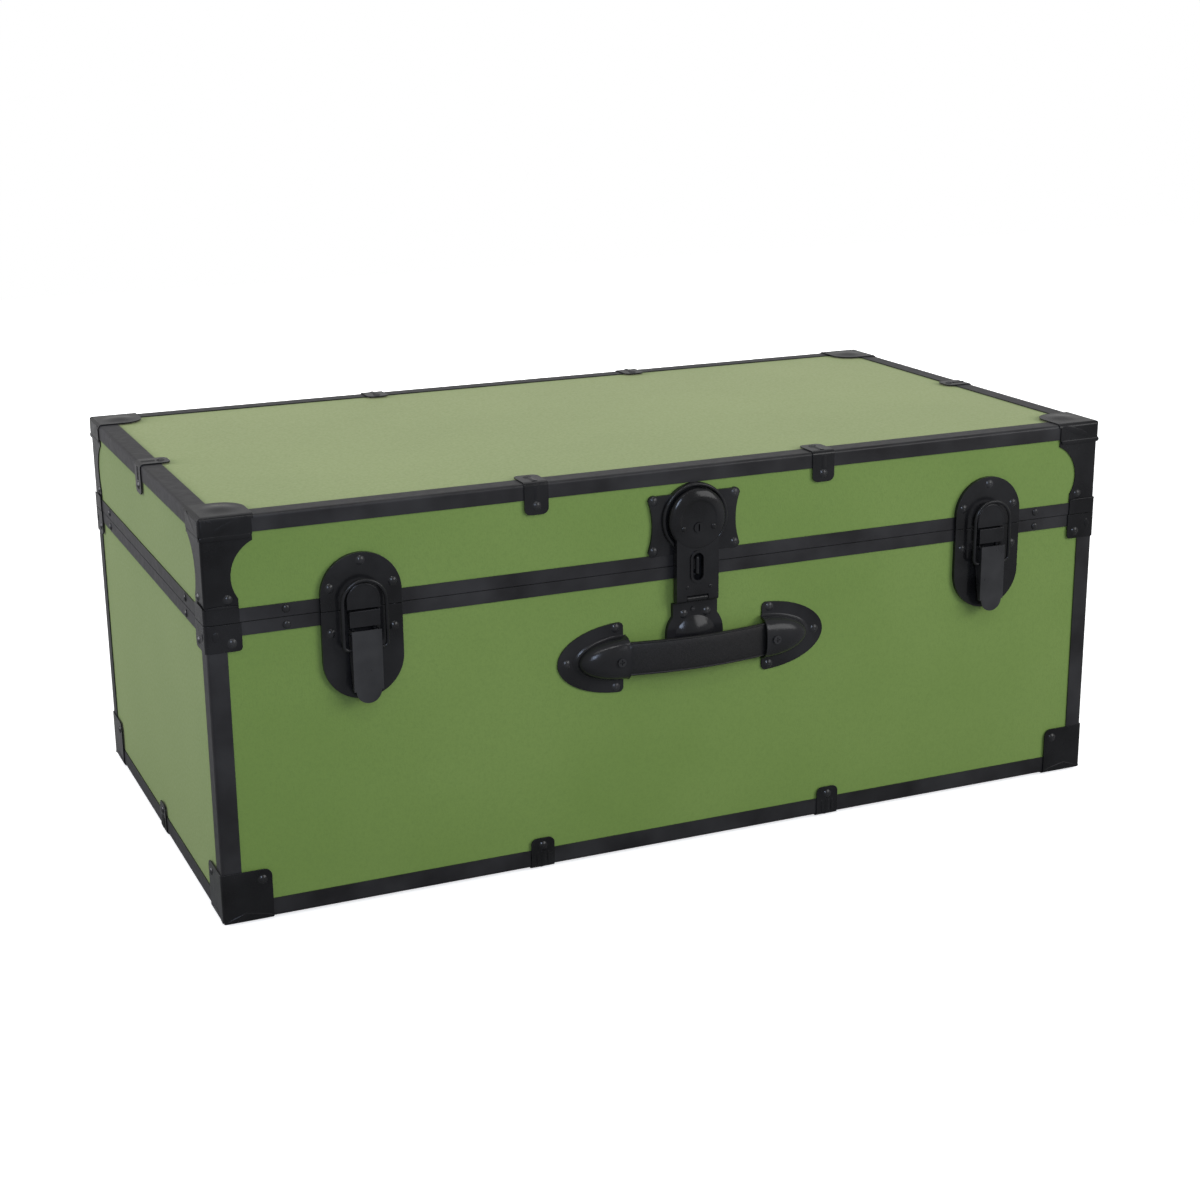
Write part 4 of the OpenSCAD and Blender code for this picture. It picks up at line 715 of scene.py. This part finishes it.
# %% [markdown]
# ## Pressed corners
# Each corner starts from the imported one, with rounded edges. The real ones also carry pressed detail that stiffens
# the sheet: a level rib across both walls under the top, a slanting crease above it, and a pillow on the top that
# fills the inside of the corner. The feet have a crease like a low roof, where the wall folds under the foot. The
# rib is a flattened bar, the creases are long low beads and the pillow is a spun bell, all laid in a frame whose
# first number counts in from the vertical edge of the corner.

# %% Corners
def on_wall(sx, sy, wall, inward, up, out=0.0):
    """A place on a corner's outer face: inward from its vertical edge, up, and out of the sheet, in millimetres."""
    if wall == "front":
        return Vector((sx * (HALF_W - inward * MM), sy * (HALF_D + out * MM) + CASE_Y, up * MM))
    if wall == "end":
        return Vector((sx * (HALF_W + out * MM), sy * (HALF_D - inward * MM) + CASE_Y, up * MM))
    return Vector((sx * (HALF_W - inward * MM), sy * (HALF_D - up * MM) + CASE_Y, TOP + out * MM))


def pillow_bm(centre, radius=15.5, height=1.15):
    """A soft swelling of the sheet: a bell-shaped side line spun a full turn."""
    bm = bmesh.new()
    steps = [(radius * k / 12, height * (0.5 + 0.5 * math.cos(math.pi * k / 12))) for k in range(13)]
    line = [bm.verts.new(centre + Vector((r, 0, h)) * MM) for r, h in steps]
    edges = [bm.edges.new(pair) for pair in zip(line, line[1:])]
    bmesh.ops.spin(bm, geom=line + edges, cent=centre, axis=(0, 0, 1), angle=2 * math.pi, steps=48, use_merge=True)
    bmesh.ops.remove_doubles(bm, verts=bm.verts, dist=0.002 * MM)
    bmesh.ops.recalc_face_normals(bm, faces=bm.faces)
    if sum(f.normal.z for f in bm.faces) < 0:
        bmesh.ops.reverse_faces(bm, faces=bm.faces)
    return bm


def swelling(bm, ends, outward, width, height):
    """A long low bead between two places, fading into the sheet at both."""
    along = (ends[1] - ends[0]) / 2
    across = along.cross(outward).normalized()
    made = bmesh.ops.create_uvsphere(bm, u_segments=24, v_segments=24, radius=1)["verts"]
    shape = Matrix((across * width / 2 * MM, outward * height * MM, along)).transposed().to_4x4()
    bmesh.ops.transform(bm, matrix=Matrix.Translation((ends[0] + ends[1]) / 2) @ shape, verts=made)


RIB_W, RIB_H = 3.4, 0.3


def rib_end(sx, sy, wall):
    """Half the width of the level rib, along the wall."""
    return Vector((RIB_W / 2 * sx, 0, 0) if wall == "front" else (0, RIB_W / 2 * sy, 0)) * MM


def pressed_corner(name, sx, sy):
    bm = merged_copy(name)
    round_edges(bm, 0.35)
    for wall, outward in (("front", Vector((0, sy, 0))), ("end", Vector((sx, 0, 0)))):
        def path(*places):
            return [on_wall(sx, sy, wall, a, b, -0.05) for a, b in places]
        if name.startswith("lid"):
            rib = path((2.1, 295.2), (35.6, 295.2))
            ridge(bm, rib, outward, RIB_W, RIB_H, 16)
            for nose in rib:
                swelling(bm, (nose - rib_end(sx, sy, wall), nose + rib_end(sx, sy, wall)), outward, RIB_W, RIB_H)
            swelling(bm, path((10, 299.0), (37, 308.8)), outward, 5.5, 0.22)
            swelling(bm, path((1.5, 244.6), (26, 244.6)), outward, 2.4, 0.26)
        elif name.startswith("foot"):
            swelling(bm, path((1.5, 3.2), (19, 9.4)), outward, 2.2, 0.34)
            swelling(bm, path((15, 9.4), (38, 4.4)), outward, 2.2, 0.34)
        else:
            swelling(bm, path((7.2, 220), (8.6, 227.5)), outward, 5.0, 0.55)
    if name.startswith("lid"):
        join_into(bm, pillow_bm(on_wall(sx, sy, "top", 21.5, 23.5, 0.01)))
    piece(name + "_pressing", bm, corner_enamel, nodes[name]["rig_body"], [name], sharp=42, outward=False)


for kind in ("lid", "rim", "foot"):
    for depth, sy in (("front", -1), ("back", 1)):
        for side, sx in (("left", -1), ("right", 1)):
            pressed_corner(f"{kind}_{depth}_{side}_corner", sx, sy)

# %% [markdown]
# ## Rivet heads on the rim strips
# The rim strips are riveted to the boards a little way in from each corner. A rivet's head is a plain low dome, so
# each one is a ball, flattened and laid over the smaller packed head.

# %% Rivet heads
RIM_RIVET_IN, HEAD_WIDE, HEAD_HIGH, STRIP_OUT = 60, 3.1, 1.55, -1.02
for body, z in (("lid", 238.5), ("base", 226.5)):
    heads = bmesh.new()
    for wall, flat in (("front", (HEAD_WIDE, HEAD_HIGH, HEAD_WIDE)), ("end", (HEAD_HIGH, HEAD_WIDE, HEAD_WIDE))):
        for sx, sy in ((-1, -1), (-1, 1), (1, -1), (1, 1)):
            head = bmesh.ops.create_uvsphere(heads, u_segments=24, v_segments=12, radius=1)["verts"]
            bmesh.ops.scale(heads, verts=head, vec=Vector(flat) * MM)
            bmesh.ops.translate(heads, verts=head, vec=on_wall(sx, sy, wall, RIM_RIVET_IN, z, STRIP_OUT))
    piece(f"{body}_rim_rivet_heads", heads, rivet_enamel, body, sharp=60)
print("rivet heads on the rim strips: 16")

# %% [markdown]
# ## Ribs of the lower clamps
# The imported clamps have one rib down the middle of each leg. The lower ones on the real trunk show three side by
# side under the rivet, so two long beads are laid beside the middle one on each wall. Each clamp is found by its
# distance in from the corner: 254 mm on the long walls, and half the depth on the ends.

# %% Ribs beside the middle one
long_walls = [("front", sx, sy, 254) for sx in (-1, 1) for sy in (-1, 1)]
end_walls = [("end", sx, 1, 200) for sx in (-1, 1)]
ribs = bmesh.new()
for wall, sx, sy, middle in long_walls + end_walls:
    outward = Vector((0, sy, 0) if wall == "front" else (sx, 0, 0))
    for beside in (-4.5, 4.5):
        ends = [on_wall(sx, sy, wall, middle + beside, up, -0.05) for up in (4.0, 15.4)]
        swelling(ribs, ends, outward, 2.4, 0.6)
side_ribs = piece("base_clamp_side_ribs", ribs, finish_of("base_edge_clamps"), "base", sharp=60)
print("side ribs:", corners_of(side_ribs))
